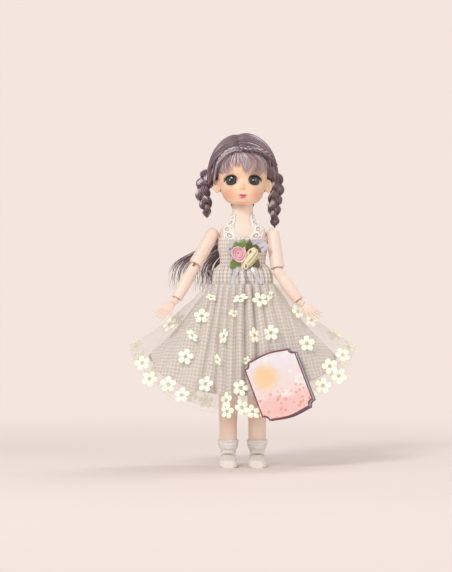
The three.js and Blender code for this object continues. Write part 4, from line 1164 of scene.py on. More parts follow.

# %% [markdown]
# ## Hair
# The hair is rooted nylon fibre, dark mauve with silvery strands; painted highlights and shade in the
# strands' tones stand in for the light on it. It is parted a little to the doll's right, combed over the
# head to two braids behind the ears, and a third braid runs across the brow.
# Thin wavy bangs let the forehead show. A close cap lies under the strands, so no scalp shows.

# %% Hair fibre
def hair_material(name, dark, pale, light, roughness=0.36):
    """Fibre whose tone comes from each strand's own shade, with painted highlights and shade in it, and fine
    streaks along it.
    """
    made, tree, shader = new_material(name)
    shade = marked(tree, "shade")
    streaks = noise_at(tree, object_place(tree), 380, 4, 0.6)
    parts = times(tree, shade, 0.75), times(tree, streaks, 0.3)
    share = calculate(tree, "ADD", *parts, clamp=True)
    base = mix_colours(tree, share, dark, pale)
    base = mix_colours(tree, ramp(tree, shade, 0.82, 1.0), base, light)
    add_relief(shader, streaks, 0.35, 0.1)
    set_inputs(shader, {"Base Color": base, "Roughness": roughness, "Specular IOR Level": 0.75})
    return made


mauve_hair = hair_material("mauve hair", "#4e373e", "#9a7f88", "#e2d6e0", 0.32)
silver_hair = hair_material("silvery bangs", "#8f7078", "#cbb3ba", "#efe6ec", 0.28)

# %% Hair cap
wig_radii = np.array([31.5, 27.5, 37.7]) * mm
wig_middle = np.array([0, 2.5, 18]) * mm
hairline_top = np.array([-18, 43.4]) * mm
hairline_side = np.array([-2.5, 27]) * mm
parting_x = -0.13


def on_wig(directions, lift=0.0):
    """Points of the wig's ellipsoid in given directions, lifted off it, relative to the head."""
    d = unit(np.asarray(directions, float))
    point = d * wig_radii
    return point + unit(point / wig_radii**2) * lift + wig_middle


def nape_narrow(points):
    """Draws the hair in towards the neck below the ears."""
    low = within((9 * mm - points[..., 2]) / (15 * mm))
    points[..., 0] *= 1 - 0.58 * low**0.85
    return points


def head_form(lift):
    """The plain skull, grown by a lift."""
    angles = full_turn(72)
    rings = []
    for rise in np.linspace(-chin_drop, skull_rise - 0.9 * mm, 60):
        half_x, half_y, middle = head_size(rise)
        rings.append(
            np.column_stack(
                [
                    (half_x + lift) * np.cos(angles),
                    middle + (half_y + lift) * np.sin(angles),
                    np.full(72, rise),
                ]
            )
        )
    rings = np.array(rings)
    rings[0, :, 2] -= lift
    rings[-1, :, 2] += lift
    return closed_loft("head form", rings)


def hairline_block():
    """Everything in front of the hairline: upright beside the face, and leaning forward over the brow."""
    (y0, z0), (y1, z1) = hairline_side, hairline_top
    far_y, far_z = y1 - (z1 - z0) * 1.2, z1 + (z1 - z0) * 1.2 * (z1 - z0) / (y0 - y1)
    outline = [(-0.15, -0.15), (y0, -0.15), (y0, z0), (y1, z1), (far_y, far_z), (-0.15, far_z)]
    return closed_loft("hairline", np.array([[(x, y, z) for y, z in outline] for x in (-0.15, 0.15)]))


polar = np.linspace(0.03, pi - 0.03, 48)
azimuth = full_turn(80)
cap_depth = 1.3 * mm
cap_rings = [
    on_wig(
        np.column_stack([np.sin(p) * np.cos(azimuth), np.sin(p) * np.sin(azimuth), np.full(80, -cos(p))]),
        -cap_depth,
    )
    for p in polar
]
cap = closed_loft("hair_cap", nape_narrow(np.array(cap_rings)))
cut_away(cap, head_form(0.5 * mm), hairline_block())
cut_away(
    cap,
    cutter_block((-0.1, -0.1, -0.1), (0.1, 6.5 * mm, 15.5 * mm)),
    cutter_block((-0.1, -0.1, -0.1), (0.1, 0.1, -5 * mm)),
)
cap.data.transform(Matrix.Translation(head_at))
dress(soft_edges(cap, 50), mauve_hair, "head", "hair")
print("hair cap faces", len(cap.data.polygons))

# %% Combed hair
def arc(start, end, count):
    """Directions that turn evenly from one to another."""
    a, b = unit(np.asarray(start, float)), unit(np.asarray(end, float))
    angle = math.acos(float(np.clip(a @ b, -1, 1)))
    t = even(count)[:, None]
    return (np.sin((1 - t) * angle) * a + np.sin(t * angle) * b) / sin(angle)


def top_direction(angle):
    """A direction on the parting: 0 is straight up, negative towards the face."""
    return np.array([parting_x, sin(angle), cos(angle)])


random = np.random.default_rng(7)
locks = []
for side in (-1, 1):
    rows = 84 if side > 0 else 76
    for k in range(rows):
        t = k / (rows - 1)
        start = top_direction(-0.88 + 2.56 * t)
        gather = np.array([side * 0.93, -0.13 + 0.42 * t, 0.02 - 0.16 * t])
        if t > 0.62:
            low = (t - 0.62) / 0.38
            gather = np.array([side * (0.9 - 0.75 * low), 0.25 + 0.6 * low, -0.2 - 0.42 * low])
        jitter = random.normal(0, 0.014, 3)
        line = on_wig(arc(start + jitter, gather + jitter, 22), -0.35 * mm + random.uniform(-0.25, 0.3) * mm)
        puff = np.sin(np.linspace(0, pi, 22)) ** 0.6
        start_drop = np.exp(-np.linspace(0, 9, 22))
        line[:, 2] += (0.5 * puff - 1.4 * start_drop) * mm
        wave = 0.22 * mm * np.sin(np.linspace(0, 7, 22) + random.uniform(0, 6))
        line[:, 1] += wave
        radius = taper(22, random.uniform(0.72, 1.05) * mm, root=0.7, tip=0.7)
        tone = np.clip(random.normal(0.3, 0.2), 0, 0.8)
        # Painted highlight: a lighter band across each strand part way down from the parting, where light
        # falls on the head.
        glow = 0.45 * np.exp(-((even(22) - 0.42) / 0.16) ** 2) * random.uniform(0.2, 1)
        locks.append((
            nape_narrow(line) + head_point,
            radius,
            within(tone + glow + (0.35 if random.random() < 0.12 else 0)),
        ))
for side in (-1, 1):
    for k in range(34):
        t = k / 33
        start = np.array([side * (0.8 + 0.16 * t), -0.42 + 0.24 * t, 0.42 - 0.46 * t])
        end = np.array([side * 0.9, 0.12 + 0.26 * t, -0.02 - 0.3 * t])
        jitter = random.normal(0, 0.01, 3)
        line = on_wig(arc(start + jitter, end + jitter, 18), random.uniform(-0.6, 0.3) * mm)
        locks.append((
            line + head_point,
            taper(18, random.uniform(0.5, 0.8) * mm, root=0.3, tip=0.5),
            np.clip(random.normal(0.4, 0.22), 0, 0.9),
        ))
temple_guides = [
    [(19.5, 36), (22.6, 29), (23.8, 22.5), (25.6, 17), (28.6, 13.2)],
    [(21.5, 35.2), (24.8, 28.4), (26.2, 22), (27.6, 16.6), (29.8, 12.4)],
    [(23.2, 34), (27, 27.4), (28.6, 21), (29.4, 15.6), (30.8, 11.4)],
    [(24.6, 32.4), (28.8, 26.2), (30.0, 20), (30.6, 14.6), (31.4, 10)],
]
t = even(26)
for side in (-1, 1):
    for guide in temple_guides:
        x, z = guide_at(guide, t).T
        for fibre in range(15):
            place, layer = random.uniform(-1, 1), random.uniform(0, 1)
            across = x + 1.7 * place + 0.3 * np.sin(6 * t + 9 * layer)
            y = -2.6 - 0.945 * np.maximum(z - 27, 0) - 1.6 * layer * np.sin(pi * t) ** 0.5 + 5 * t**4
            radius = taper(26, random.uniform(0.3, 0.5) * mm, root=0.6, tip=0.5)
            # Painted highlight: a lighter band on the upper part of each temple strand.
            glow = 0.35 * np.exp(-(((t - 0.35) / 0.2) ** 2)) * random.uniform(0, 1)
            locks.append((
                np.column_stack([side * across, y, z]) * mm + head_point,
                radius,
                within(random.normal(0.5, 0.22) + glow),
            ))
combed = strands("combed_hair", locks, mauve_hair, sides=6, flatness=0.8)
dress(combed, mauve_hair, "head", "hair", "wig")


# %% Braids
def frames_along(path, out):
    """For every point of a path: its way, a direction across, and one outwards."""
    way = unit(np.gradient(path, axis=0))
    across = unit(np.cross(way, out))
    return way, across, unit(np.cross(across, way))


light_way = unit(np.array([-0.55, -0.62, 0.55]))


def braid(
    path, out, wide, turns, random, tone=0.3, spread=0.16,
    bundle=((1, 0, 0.6), (7, 0.52, 0.34), (13, 0.88, 0.2)),
):
    """Three locks that cross, each a bundle of fibres that swells where it lies on top; its tones hold
    painted highlights and shade.
    """
    t = np.linspace(0, 1, len(path))
    _, across, outwards = frames_along(path, out)
    locks = []
    for lock in range(3):
        phase = 2 * pi * (t * turns + lock / 3)
        top = 0.5 + 0.5 * np.sin(2 * phase)
        size = wide * (0.33 + 0.15 * top)
        centre = (
            path + across * (np.sin(phase) * wide * 0.56)[:, None]
            + outwards * (np.sin(2 * phase) * wide * 0.34)[:, None]
        )
        _, side_way, top_way = frames_along(centre, out)
        for amount, reach, thick in bundle:
            for fibre in range(amount):
                angle = 2 * pi * fibre / amount + reach + phase * 0.12
                offset = (
                    side_way * (reach * size * np.cos(angle) * 1.1)[:, None]
                    + top_way * (reach * size * np.sin(angle) * 0.9)[:, None]
                )
                radius = size * thick * random.uniform(0.85, 1.15)
                # Painted highlight on fibres that face the light where the lock lies on top, painted shade on
                # those that face away and where the lock passes under.
                facing = (unit(offset + 1e-9) @ light_way) * min(reach * 1.4, 1)
                lit = within(facing) ** 1.4 * top * random.choice([0.3, 0.7, 1.0], p=[0.3, 0.35, 0.35])
                dim = 0.3 * within(-facing) + 0.3 * (1 - top)
                locks.append((centre + offset, radius, within(tone + random.normal(0, spread) + lit - dim)))
    return locks


random = np.random.default_rng(21)
crown_guide = [
    (-25.2, 0.5, 12), (-25.0, -4.0, 17), (-24.0, -8.0, 22.5), (-22.6, -12.2, 27.5), (-19.8, -16.4, 33),
    (-14.6, -19.8, 38), (-9, -21.3, 40.8), (-4.6, -21.6, 41.4), (0.8, -21.4, 40.6), (7.4, -20.4, 39.8),
    (14, -17.6, 38.9), (20.4, -14, 35.8), (26.6, -8, 32), (30.6, -1, 26),
]
fine = even(200)
crown_path = guide_at(crown_guide, fine) * mm
crown_out = unit(crown_path - wig_middle)
wide = through([0, 0.1, 0.3, 0.5, 0.58, 0.9, 1], [0.9, 1.1, 1.25, 1.35, 2.2, 3.0, 1.6], fine) * mm
locks = braid(crown_path + head_point, crown_out, wide, 7, random, 0.46, 0.16, ((1, 0, 0.6), (9, 0.75, 0.28)))
# The braid is lighter along its first part, on the doll's right, and bright strands run beside that part.
brighter_share = within((0.6 - fine) / 0.1)
locks = [(path, radius, within(shade + 0.35 * brighter_share)) for path, radius, shade in locks]
bright_strand_end = 118
for k in range(9):
    half = crown_path[:bright_strand_end] + crown_out[:bright_strand_end] * random.uniform(-0.2, 0.9) * mm
    half[:, 2] -= (0.9 + 0.28 * k) * mm
    half[:, 0] += 0.4 * mm * np.sin(np.linspace(0, 9, bright_strand_end) + k)
    locks.append((
        half + head_point,
        taper(bright_strand_end, random.uniform(0.26, 0.42) * mm, root=0.5, tip=0.6),
        random.uniform(0.8, 1.0),
    ))
for k in range(16):
    first = random.integers(95, 170)
    piece = crown_path[first : first + 26] + crown_out[first : first + 26] * 1.2 * mm
    lift = np.sin(np.linspace(0, pi, len(piece)))[:, None]
    piece = piece + lift * np.array([0, -0.6, random.uniform(-2.2, 2.2)]) * mm
    locks.append((
        piece + head_point, taper(len(piece), 0.24 * mm, root=0.4, tip=0.3), random.uniform(0.55, 1.0)
    ))
crown = strands("crown_braid_locks", locks, mauve_hair, sides=6)
dress(crown, mauve_hair, "head", "hair_light", "crown_braid")

# %% Side braids
braid_table = np.array([
    (0, 0.88, 0, 0.62), (0.16, 1.0, 0.2, 0.98), (0.4, 1.05, 0.5, 1.06), (0.62, 1.0, 0.8, 0.98),
    (0.8, 0.98, 0.95, 0.8), (0.9, 0.99, 1, 0.66), (1, 1.0, 1, 0.4),
])
braid_sizes = {"right": (-33.5, 40), "left": (29, 49)}
for side, sign in (("right", -1), ("left", 1)):
    across_at, drop = braid_sizes[side]
    random = np.random.default_rng(31 + sign)
    t = np.linspace(0, 0.82, 110)
    aside, back, size = table_at(braid_table, t)
    path = np.column_stack([across_at * aside + 0.8 * np.sin(9 * t), 5 + 12 * back, 23 - (drop + 4) * t]) * mm
    out = unit(np.column_stack([np.full(110, sign * 0.45), np.full(110, -0.9), np.zeros(110)]))
    wide = (6.9 if sign < 0 else 6.5) * size * mm
    wide *= through([0, 0.12, 0.9, 1], [0.6, 1, 0.95, 0.6], even(110))
    locks = braid(path + head_point, out, wide, 1.35 if sign < 0 else 1.6, random, 0.4, 0.13)
    for k in range(26):
        first = random.integers(4, 84)
        piece = path[first : first + 24] + head_point
        bow = np.sin(np.linspace(0, pi, 24))[:, None] * random.uniform(0.7, 1.25)
        away = np.array([
            random.choice([-1, 1]) * random.uniform(2, 6.4), random.uniform(-6, 2), random.uniform(-1, 1)
        ]) * mm
        locks.append((
            piece + bow * away,
            taper(24, random.uniform(0.18, 0.3) * mm, root=0.5, tip=0.3),
            random.uniform(0.35, 0.95),
        ))
    tie_at = path[-1]
    for k in range(26):
        angle, reach = random.uniform(0, 2 * pi), math.sqrt(random.uniform(0, 1))
        s = even(16)
        bulge = np.sin(pi * within(s * 0.9 + 0.15)) * 3.6 * reach
        tail = np.column_stack(
            [
                tie_at[0] / mm + np.cos(angle) * bulge + 0.5 * np.sin(5 * s + k),
                tie_at[1] / mm + np.sin(angle) * bulge * 0.8,
                tie_at[2] / mm + 0.8 - (0.19 * drop + 0.6) * s * random.uniform(0.8, 1),
            ]
        ) * mm
        locks.append((
            tail + head_point, taper(16, 0.6 * mm, root=0.9, tip=0.25), within(random.normal(0.4, 0.25))
        ))
    made = strands(f"braid_{side}", locks, mauve_hair, sides=6)
    dress(made, mauve_hair, "head", "hair", f"side_braid_{side}")
    ring = []
    for k in range(3):
        a = np.linspace(0, 2 * pi, 40)
        ring.append((
            np.column_stack([
                tie_at[0] + 3.1 * mm * np.cos(a),
                tie_at[1] + 3.1 * mm * np.sin(a),
                tie_at[2] + (k - 1) * 0.7 * mm + 0.12 * mm * np.sin(a * 2 + k),
            ]) + head_point,
            0.42 * mm,
            0.1,
        ))
    tie = strands(f"braid_tie_{side}", ring, mauve_hair, sides=8)
    dress(tie, mauve_hair, "head", "hair_tie", f"hair_tie_{side}")

# %% Bangs
bang_guides = [
    [(-15.5, 36.4), (-20.6, 30.6), (-23.0, 24.6), (-23.6, 18.6)],
    [(-13.2, 37.6), (-18.8, 31.4), (-21.2, 25.4), (-19.6, 20.4), (-15.8, 18.4)],
    [(-11.2, 38.4), (-16.2, 32.6), (-18.6, 26.8), (-17.2, 21.4), (-12.6, 18.4)],
    [(-9.2, 38.9), (-13.2, 32.6), (-15.4, 27.0), (-14.4, 21.6), (-10.6, 18.6)],
    [(-7.4, 39.4), (-10.2, 32.6), (-11.6, 27.2), (-10.6, 22.6), (-8.2, 20.2)],
    [(-5.9, 39.8), (-7.6, 32.6), (-8.4, 27.2), (-6.8, 23.2)],
    [(-4.7, 40.0), (-4.8, 32.4), (-4.9, 27.0), (-3.6, 23.0)],
    [(-3.9, 40.0), (-1.4, 32.0), (0.8, 26.0), (2.8, 20.6), (5.2, 16.8)],
    [(-3.0, 40.0), (0.8, 32.6), (2.6, 27.2), (1.4, 22.6), (-0.6, 20.8)],
    [(-2.0, 40.0), (4.0, 32.8), (6.5, 27.2), (5.0, 22.0), (2.6, 19.6)],
    [(0.5, 39.8), (7.8, 34.2), (12.3, 28.8), (12.4, 23.6), (9.4, 19.0), (6.0, 16.6)],
    [(3.0, 39.4), (10.6, 34.4), (15.3, 28.6), (14.9, 23.3), (11.5, 19.0), (9.2, 17.0)],
    [(6.0, 38.8), (14.0, 33.8), (18.1, 28.6), (18.1, 23.3), (15.5, 18.6), (13.2, 16.8)],
    [(9.5, 37.8), (17.6, 32.8), (21.2, 27.2), (21.4, 21.0), (19.6, 16.8)],
    [(12.6, 36.8), (20.2, 32.0), (23.0, 26.0), (23.4, 20.0), (22.0, 15.8)],
    [(15.6, 35.4), (22.0, 31.0), (24.4, 25.0), (24.8, 18.7), (24.0, 13.5)],
]
random = np.random.default_rng(3)
locks, bang_steps = [], 34
for k, guide in enumerate(bang_guides):
    t = even(bang_steps)
    middle = guide_at(guide, t)
    way = unit(np.gradient(middle, axis=0))
    aside = np.column_stack([-way[:, 1], way[:, 0]])
    inner = 4 <= k <= 8
    silver_lock = random.uniform(-0.12, 0.2)
    for fibre in range(16 if inner else 21):
        place, layer = random.uniform(-1, 1), random.uniform(0, 1)
        spread = (0.8 + 1.5 * np.sin(pi * within(t * 0.8 + 0.05))) * (1 - 0.5 * t**3)
        curve = (
            middle
            + aside * (place * spread + 0.5 * t * np.sin((5 + 3 * layer) * t + 6.3 * layer + k))[:, None]
        )
        keep = int(bang_steps * random.uniform(0.74, 1.0))
        curve = curve[:keep] * mm
        lift = (0.5 + (1.5 * layer + 0.9 * (1 - place**2)) * np.sin(pi * within(t[:keep])) ** 0.6) * mm
        points = np.stack([curve[:, 0], face_front(curve[:, 0], curve[:, 1]) - lift, curve[:, 1]], -1)
        radius = taper(keep, random.uniform(0.16, 0.32) * mm, root=0.8, tip=0.25)
        # Painted highlight: a lighter band at one of two places along each strand.
        glow = 0.45 * np.exp(-((t[:keep] - random.choice([0.25, 0.6])) / 0.18) ** 2) * random.uniform(0, 1)
        locks.append((points + head_point, radius, within(random.normal(0.56, 0.26) + silver_lock + glow)))
bangs = strands("wavy_bangs", locks, silver_hair, sides=5, flatness=0.6)
dress(bangs, silver_hair, "head", "hair_light", "bangs")

# %% Loose hair at the back
back_table = np.array([
    (0, 0.26, 0, 0), (0.09, 0.2, 0.05, 0), (0.22, 0.21, 0.2, 0), (0.34, 0.36, 0.3, -0.02),
    (0.46, 0.6, 0.36, -0.14), (0.66, 0.94, 0.5, -0.46), (0.88, 1.0, 0.9, -0.52), (1, 0.76, 1, -0.6),
])
random = np.random.default_rng(5)
locks = []
loose_count = 300
for k in range(loose_count):
    across = random.uniform(-1, 1)
    deep = random.uniform(-1, 1)
    reach = random.uniform(0.6, 0.98) if abs(across) > 0.4 else random.uniform(0.82, 0.99)
    t = np.linspace(0, reach, 40)
    wide, back, aside = table_at(back_table, t)
    curl = random.uniform(0, 6.3)
    swing = 0.9 * t**1.2 * random.uniform(0.5, 2.4)
    x = 47 * (aside + across * wide * 0.93) + swing * np.sin(10 * t + curl) * 1.6
    y = 18 + 10 * back + deep * 2.4 * (1 - 0.3 * t) + swing * 0.5 * np.cos(10 * t + curl)
    z = -5.4 - 86 * t + 0.8 * np.sin(8 * t + curl)
    x[0], y[0] = across * 10, 17 + deep * 2
    locks.append((
        np.column_stack([x, y, z]) * mm + head_point,
        taper(40, random.uniform(0.24, 0.52) * mm, root=1.0, tip=0.15),
        float(within(random.normal(0.5, 0.24))),
    ))
loose = strands("loose_hair", locks, mauve_hair, sides=5)
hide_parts("back_hair")
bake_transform(loose)

# %% [markdown]
# ## Dress cloth
# The dress is a fine beige gingham: two sets of woven stripes that darken where they cross. The
# pattern follows each piece's own UV map, which is in metres of cloth, so the checks keep their size
# and bend with the folds. The net over the skirt is a sheer mesh of thin threads.

# %% Gingham and net
def stripe(tree, value, pitch):
    """1 on the dark half of each pitch and 0 on the pale half, with a soft edge."""
    phase = calculate(tree, "FRACT", calculate(tree, "DIVIDE", value, pitch))
    away = calculate(tree, "ABSOLUTE", calculate(tree, "SUBTRACT", phase, 0.5))
    return ramp(tree, away, 0.29, 0.21)


gingham, tree, shader = new_material("beige gingham")
place = uv_place(tree)
split = axes_of(tree, place)
given = use_group(tree, weave_group, {"Place": place, "Threads per metre": 3600.0, "Slub": 0.6})
check_pitch = 3.4 * mm
both = calculate(tree, "ADD", *(stripe(tree, split[way], check_pitch) for way in ("X", "Y")))
both = times(tree, both, 0.5)
tint = mix_colours(tree, both, "#f2eae3", "#cdc0b6")
tint = mix_colours(tree, times(tree, given["Wear"], 0.2), tint, "#e0d6cd")
# Painted shade: the cloth darkens towards brown in fold valleys and pleats, where shade falls.
painted_shade = marked(tree, "painted_shade")
tint = mix_colours(tree, times(tree, painted_shade, 0.95), tint, "#806b60")
add_relief(shader, given["Height"], 0.5, 0.08)
set_inputs(shader, {"Base Color": tint, "Roughness": 0.88, "Sheen Weight": 0.15})

net_material, tree, shader = new_material("sheer net")
split = axes_of(tree, uv_place(tree))
net_pitch = 0.9 * mm
threads = []
for way in ("ADD", "SUBTRACT"):
    slant = calculate(tree, way, split["X"], split["Y"])
    phase = calculate(tree, "FRACT", calculate(tree, "DIVIDE", slant, net_pitch))
    threads.append(
        ramp(tree, calculate(tree, "ABSOLUTE", calculate(tree, "SUBTRACT", phase, 0.5)), 0.09, 0.03)
    )
thread = calculate(tree, "MAXIMUM", *threads)
alpha = calculate(tree, "MULTIPLY_ADD", thread, 0.42)
alpha.node.inputs[2].default_value = 0.03
set_inputs(shader, {"Alpha": alpha})
cloudy = noise_at(tree, object_place(tree), 60)
set_inputs(shader, {"Base Color": mix_colours(tree, cloudy, "#e6ddd6", "#f6f0ea"), "Roughness": 0.6})

# %% [markdown]
# ## Skirt
# Both skirts are cut as long strips and gathered into the waist. Narrow folds with sharp valleys fall
# from the gathers, close together in the middle of the front and the back, and die out towards the
# flared sides. One function gives any point of a skirt, so the lining, the net and the flowers sewn
# on the net all share the same folds.

# %% Skirt form
waist_rise = 19
skirt_columns, skirt_rows = 300, 64
lining_size = {"gap": 0.5, "half_x": 84, "half_y": 38, "side": 62, "front": 100}
net_size = {"gap": 2.1, "half_x": 101, "half_y": 46, "side": 52, "front": 117}


def mark_painted_shade(made, values):
    """Marks how deep in a fold each point lies, for the material to darken as painted shade."""
    mark_points(made.data, "painted_shade", np.ravel(values))


def fold_phase(across, drop):
    """Counts the folds from the middle: a whole number on each ridge."""
    pitch = 6.2 + 0.075 * drop
    return across / pitch + 0.3 * np.sin(across / 11 + 1.3) + 0.004 * drop * np.sin(across / 17)


def cloth_places(points, drop):
    """Where each point of half a skirt lies on its cloth, in metres, each fold unrolled about its ridge."""
    last, apart, apex = 3, 13.6 * mm, 60 * mm
    steps = np.linalg.norm(np.diff(points, axis=1), axis=-1)
    run = np.concatenate([np.zeros((len(points), 1)), np.cumsum(steps, axis=1)], axis=1)
    half = run.shape[1] // 2
    run = np.where(np.arange(run.shape[1]) < half, run, run[:, -1:] - run)
    phase = fold_phase(points[..., 0] / mm, drop)
    fold = np.clip(np.round(phase), -last, last)
    ridge = np.zeros_like(run)
    for row in range(len(run)):
        for columns in (slice(0, half), slice(half, None)):
            order = np.argsort(phase[row, columns])
            ridge[row, columns] = np.interp(
                fold[row, columns], phase[row, columns][order], run[row, columns][order]
            )
    slant = np.linalg.norm(np.diff(points, axis=0), axis=-1).cumsum(axis=0)
    reach = apex + np.concatenate([np.zeros((1, run.shape[1])), slant])
    turn = (run - ridge) / reach
    return np.stack([reach * np.sin(turn) + fold * apart, reach * np.cos(turn)], -1)


def fold_form(across, drop):
    """The narrow folds at a place across and a drop below the waist, positive on a ridge, and their share."""
    phase = fold_phase(across, drop)
    ridges = 2 * (np.cos(pi * phase) ** 2 + 0.004) ** 0.36 - 1.35
    middle = np.exp(-((across / (26 + 0.22 * drop)) ** 2))
    return ridges * (0.2 + 0.8 * middle) * (0.8 + 0.25 * np.sin(across / 6.1 + 0.4)), middle


def skirt_points(size, around, down):
    """Points of a skirt in the row frame. around is an angle from +X, down runs from waist to hem."""
    around, down = np.broadcast_arrays(np.asarray(around, float), np.asarray(down, float))
    waist_x, waist_y = (v / mm for v in torso_size(waist_rise * mm))
    front = np.minimum(np.sqrt(np.sin(around) ** 2 + 0.004), 1)
    hem = size["side"] + (size["front"] - size["side"]) * front
    drop = hem * np.maximum(down, 0)
    puff = 6.3 * (1 - np.exp(-170 * np.maximum(down, 0))) * (1 - down)
    start_x, start_y = waist_x + size["gap"] + 0.6, waist_y + size["gap"] + 0.6
    out_x = start_x + (size["half_x"] - start_x) * down + puff
    out_y = start_y + (size["half_y"] - start_y) * down + puff
    folds, middle = fold_form(out_x * np.cos(around), drop)
    ripple = (2.6 * (1 - np.exp(-drop / 2.5)) + 0.008 * drop) * folds
    ripple = ripple + 1.6 * down * np.sin(9 * around + 0.8 * np.sin(2 * around)) * (1 - middle)
    out_x, out_y = out_x + ripple, out_y + ripple
    power = squareness + (2 - squareness) * down
    c, s = np.cos(around), np.sin(around)
    x = out_x * np.sign(c) * np.abs(c) ** (2 / power)
    y = out_y * np.sign(s) * np.abs(s) ** (2 / power)
    z = waist_rise - hem * (down + 0.3 * down * (1 - down))
    return np.stack([x * mm, y * mm, hip_height + z * mm], -1)


def skirt_normals(size, around, down):
    step = 1e-3
    along = skirt_points(size, around + step, down) - skirt_points(size, around - step, down)
    below = (
        skirt_points(size, around, np.asarray(down) + step)
        - skirt_points(size, around, np.asarray(down) - step)
    )
    return unit(np.cross(below, along))


def skirt_half(name, size, side, thickness):
    """One half of a skirt, from the middle of the back round one side to the middle of the front."""
    turn = np.linspace(-pi / 2, pi / 2, skirt_columns)
    around = turn if side > 0 else turn + pi
    down = even(skirt_rows) ** 1.4
    a, d = np.meshgrid(around, down)
    outer = skirt_points(size, a, d)
    inner = outer - skirt_normals(size, a, d) * thickness
    drop = waist_rise + (hip_height - outer[..., 2]) / mm
    made = sheet_object(name, outer, inner, cloth_places(outer, drop))
    # Painted shade in the fold valleys, deepest near the waist and fading towards the hem.
    painted_shade = np.clip(-fold_form(outer[..., 0] / mm, drop)[0], 0, 1.3) / 1.3 * np.exp(-drop / 130)
    mark_painted_shade(made, np.concatenate([painted_shade, painted_shade[::-1]]))
    made["area"] = sheet_area(outer)
    return outward(made)


lining_cut, net_cut = (0.17, 0.104), (0.205, 0.12)
skirt_pieces = []
layers = (
    ("gingham", lining_size, 0.5 * mm, gingham, lining_cut),
    ("net", net_size, 0.12 * mm, net_material, net_cut),
)
for side, name in halves:
    for layer, size, thickness, cloth, cut in layers:
        half = skirt_half(f"{layer}_skirt_{name}", size, side, thickness)
        half.data.materials.append(cloth)
        skirt_pieces.append((half, name, cut))
        print(half.name, "measured", round(half["area"], 4), "of", round(math.prod(cut), 4), "square metres")

# %% [markdown]
# ## Flowers on the net
# Cream felt flowers with five oval petals and a beaded ring are sewn on the net, thick at the hem and
# scattered above. One flower is modelled, and Geometry Nodes place it on points that lie on the net.

# %% One flower
petal_count, petal_rows, petal_columns = 5, 7, 18
ring_steps, ring_sides = 24, 8
flower_points, flower_faces = [], []
for k in range(petal_count):
    turn = 2 * pi * k / petal_count
    start = len(flower_points)
    for i in range(petal_rows):
        reach = i / (petal_rows - 1)
        for j in range(petal_columns):
            a = 2 * pi * j / petal_columns
            x = 4.35 + 2.95 * reach * cos(a)
            y = 2.45 * reach * sin(a) * (1 + 0.22 * cos(a))
            z = 0.5 * (1 - reach**4) + 0.12 * sin(3 * a + k) * reach + 0.15
            flower_points.append((x * cos(turn) - y * sin(turn), x * sin(turn) + y * cos(turn), z))
    for i in range(petal_rows - 1):
        for j in range(petal_columns):
            n = (j + 1) % petal_columns
            a, b = start + i * petal_columns, start + (i + 1) * petal_columns
            flower_faces.append((a + j, b + j, b + n, a + n))
ring_start = len(flower_points)
for i in range(ring_steps):
    a = 2 * pi * i / ring_steps
    for j in range(ring_sides):
        b = 2 * pi * j / ring_sides
        beads = 0.36 + 0.1 * cos(8 * a)
        r = 1.25 + beads * cos(b)
        flower_points.append((r * cos(a), r * sin(a), 0.55 + beads * sin(b)))
for i in range(ring_steps):
    for j in range(ring_sides):
        a, b = (ring_start + n % ring_steps * ring_sides for n in (i, i + 1))
        n = (j + 1) % ring_sides
        flower_faces.append((a + j, b + j, b + n, a + n))
flower = make_object("one flower", np.array(flower_points) * mm, flower_faces)
outward(flower)
mark_points(flower.data, "from_middle", [math.hypot(v.co.x, v.co.y) / mm for v in flower.data.vertices])

flower_felt, tree, shader = new_material("cream felt flowers")
# Painted glow: a faint emission lifts the flowers on the far side of the net, which face away from the lamps.
set_inputs(shader, {"Emission Color": "#efe9cf", "Emission Strength": 0.22})
middle = marked(tree, "from_middle")
fuzz = noise_at(tree, object_place(tree), 1500, 3)
cream = mix_colours(tree, fuzz, "#f3f2dc", "#fdfcec")
cream = mix_colours(tree, ramp(tree, middle, 1.7, 1.95), "#b9b09f", cream)
add_relief(shader, fuzz, 0.4, 0.1)
set_inputs(shader, {"Base Color": cream, "Roughness": 0.8})

# %% The flower tree
flower_tree, given, result = new_group(
    "sewn flowers",
    "Geometry",
    [("Geometry", "Geometry"), ("Flower", "Object"), ("Size", "Float", 1.0), ("Material", "Material")],
    [("Geometry", "Geometry")],
)
facing = {
    "Primary Axis": named_value(flower_tree, "facing", "FLOAT_VECTOR"),
    "Secondary Axis": named_value(flower_tree, "heading", "FLOAT_VECTOR"),
}
facing = add_node(flower_tree, "FunctionNodeAxesToRotation", facing, primary_axis="Z", secondary_axis="X")
stretch = named_value(flower_tree, "stretch", "FLOAT_VECTOR")
placed = {
    "Points": given["Geometry"],
    "Instance": add_node(
        flower_tree, "GeometryNodeObjectInfo", {"Object": given["Flower"]}
    ).outputs["Geometry"],
    "Rotation": facing.outputs["Rotation"],
    "Scale": vector_math(flower_tree, "SCALE", {0: stretch, "Scale": given["Size"]})[0],
}
placed = add_node(flower_tree, "GeometryNodeInstanceOnPoints", placed).outputs["Instances"]
finish_tree(flower_tree, placed, given["Material"], result)

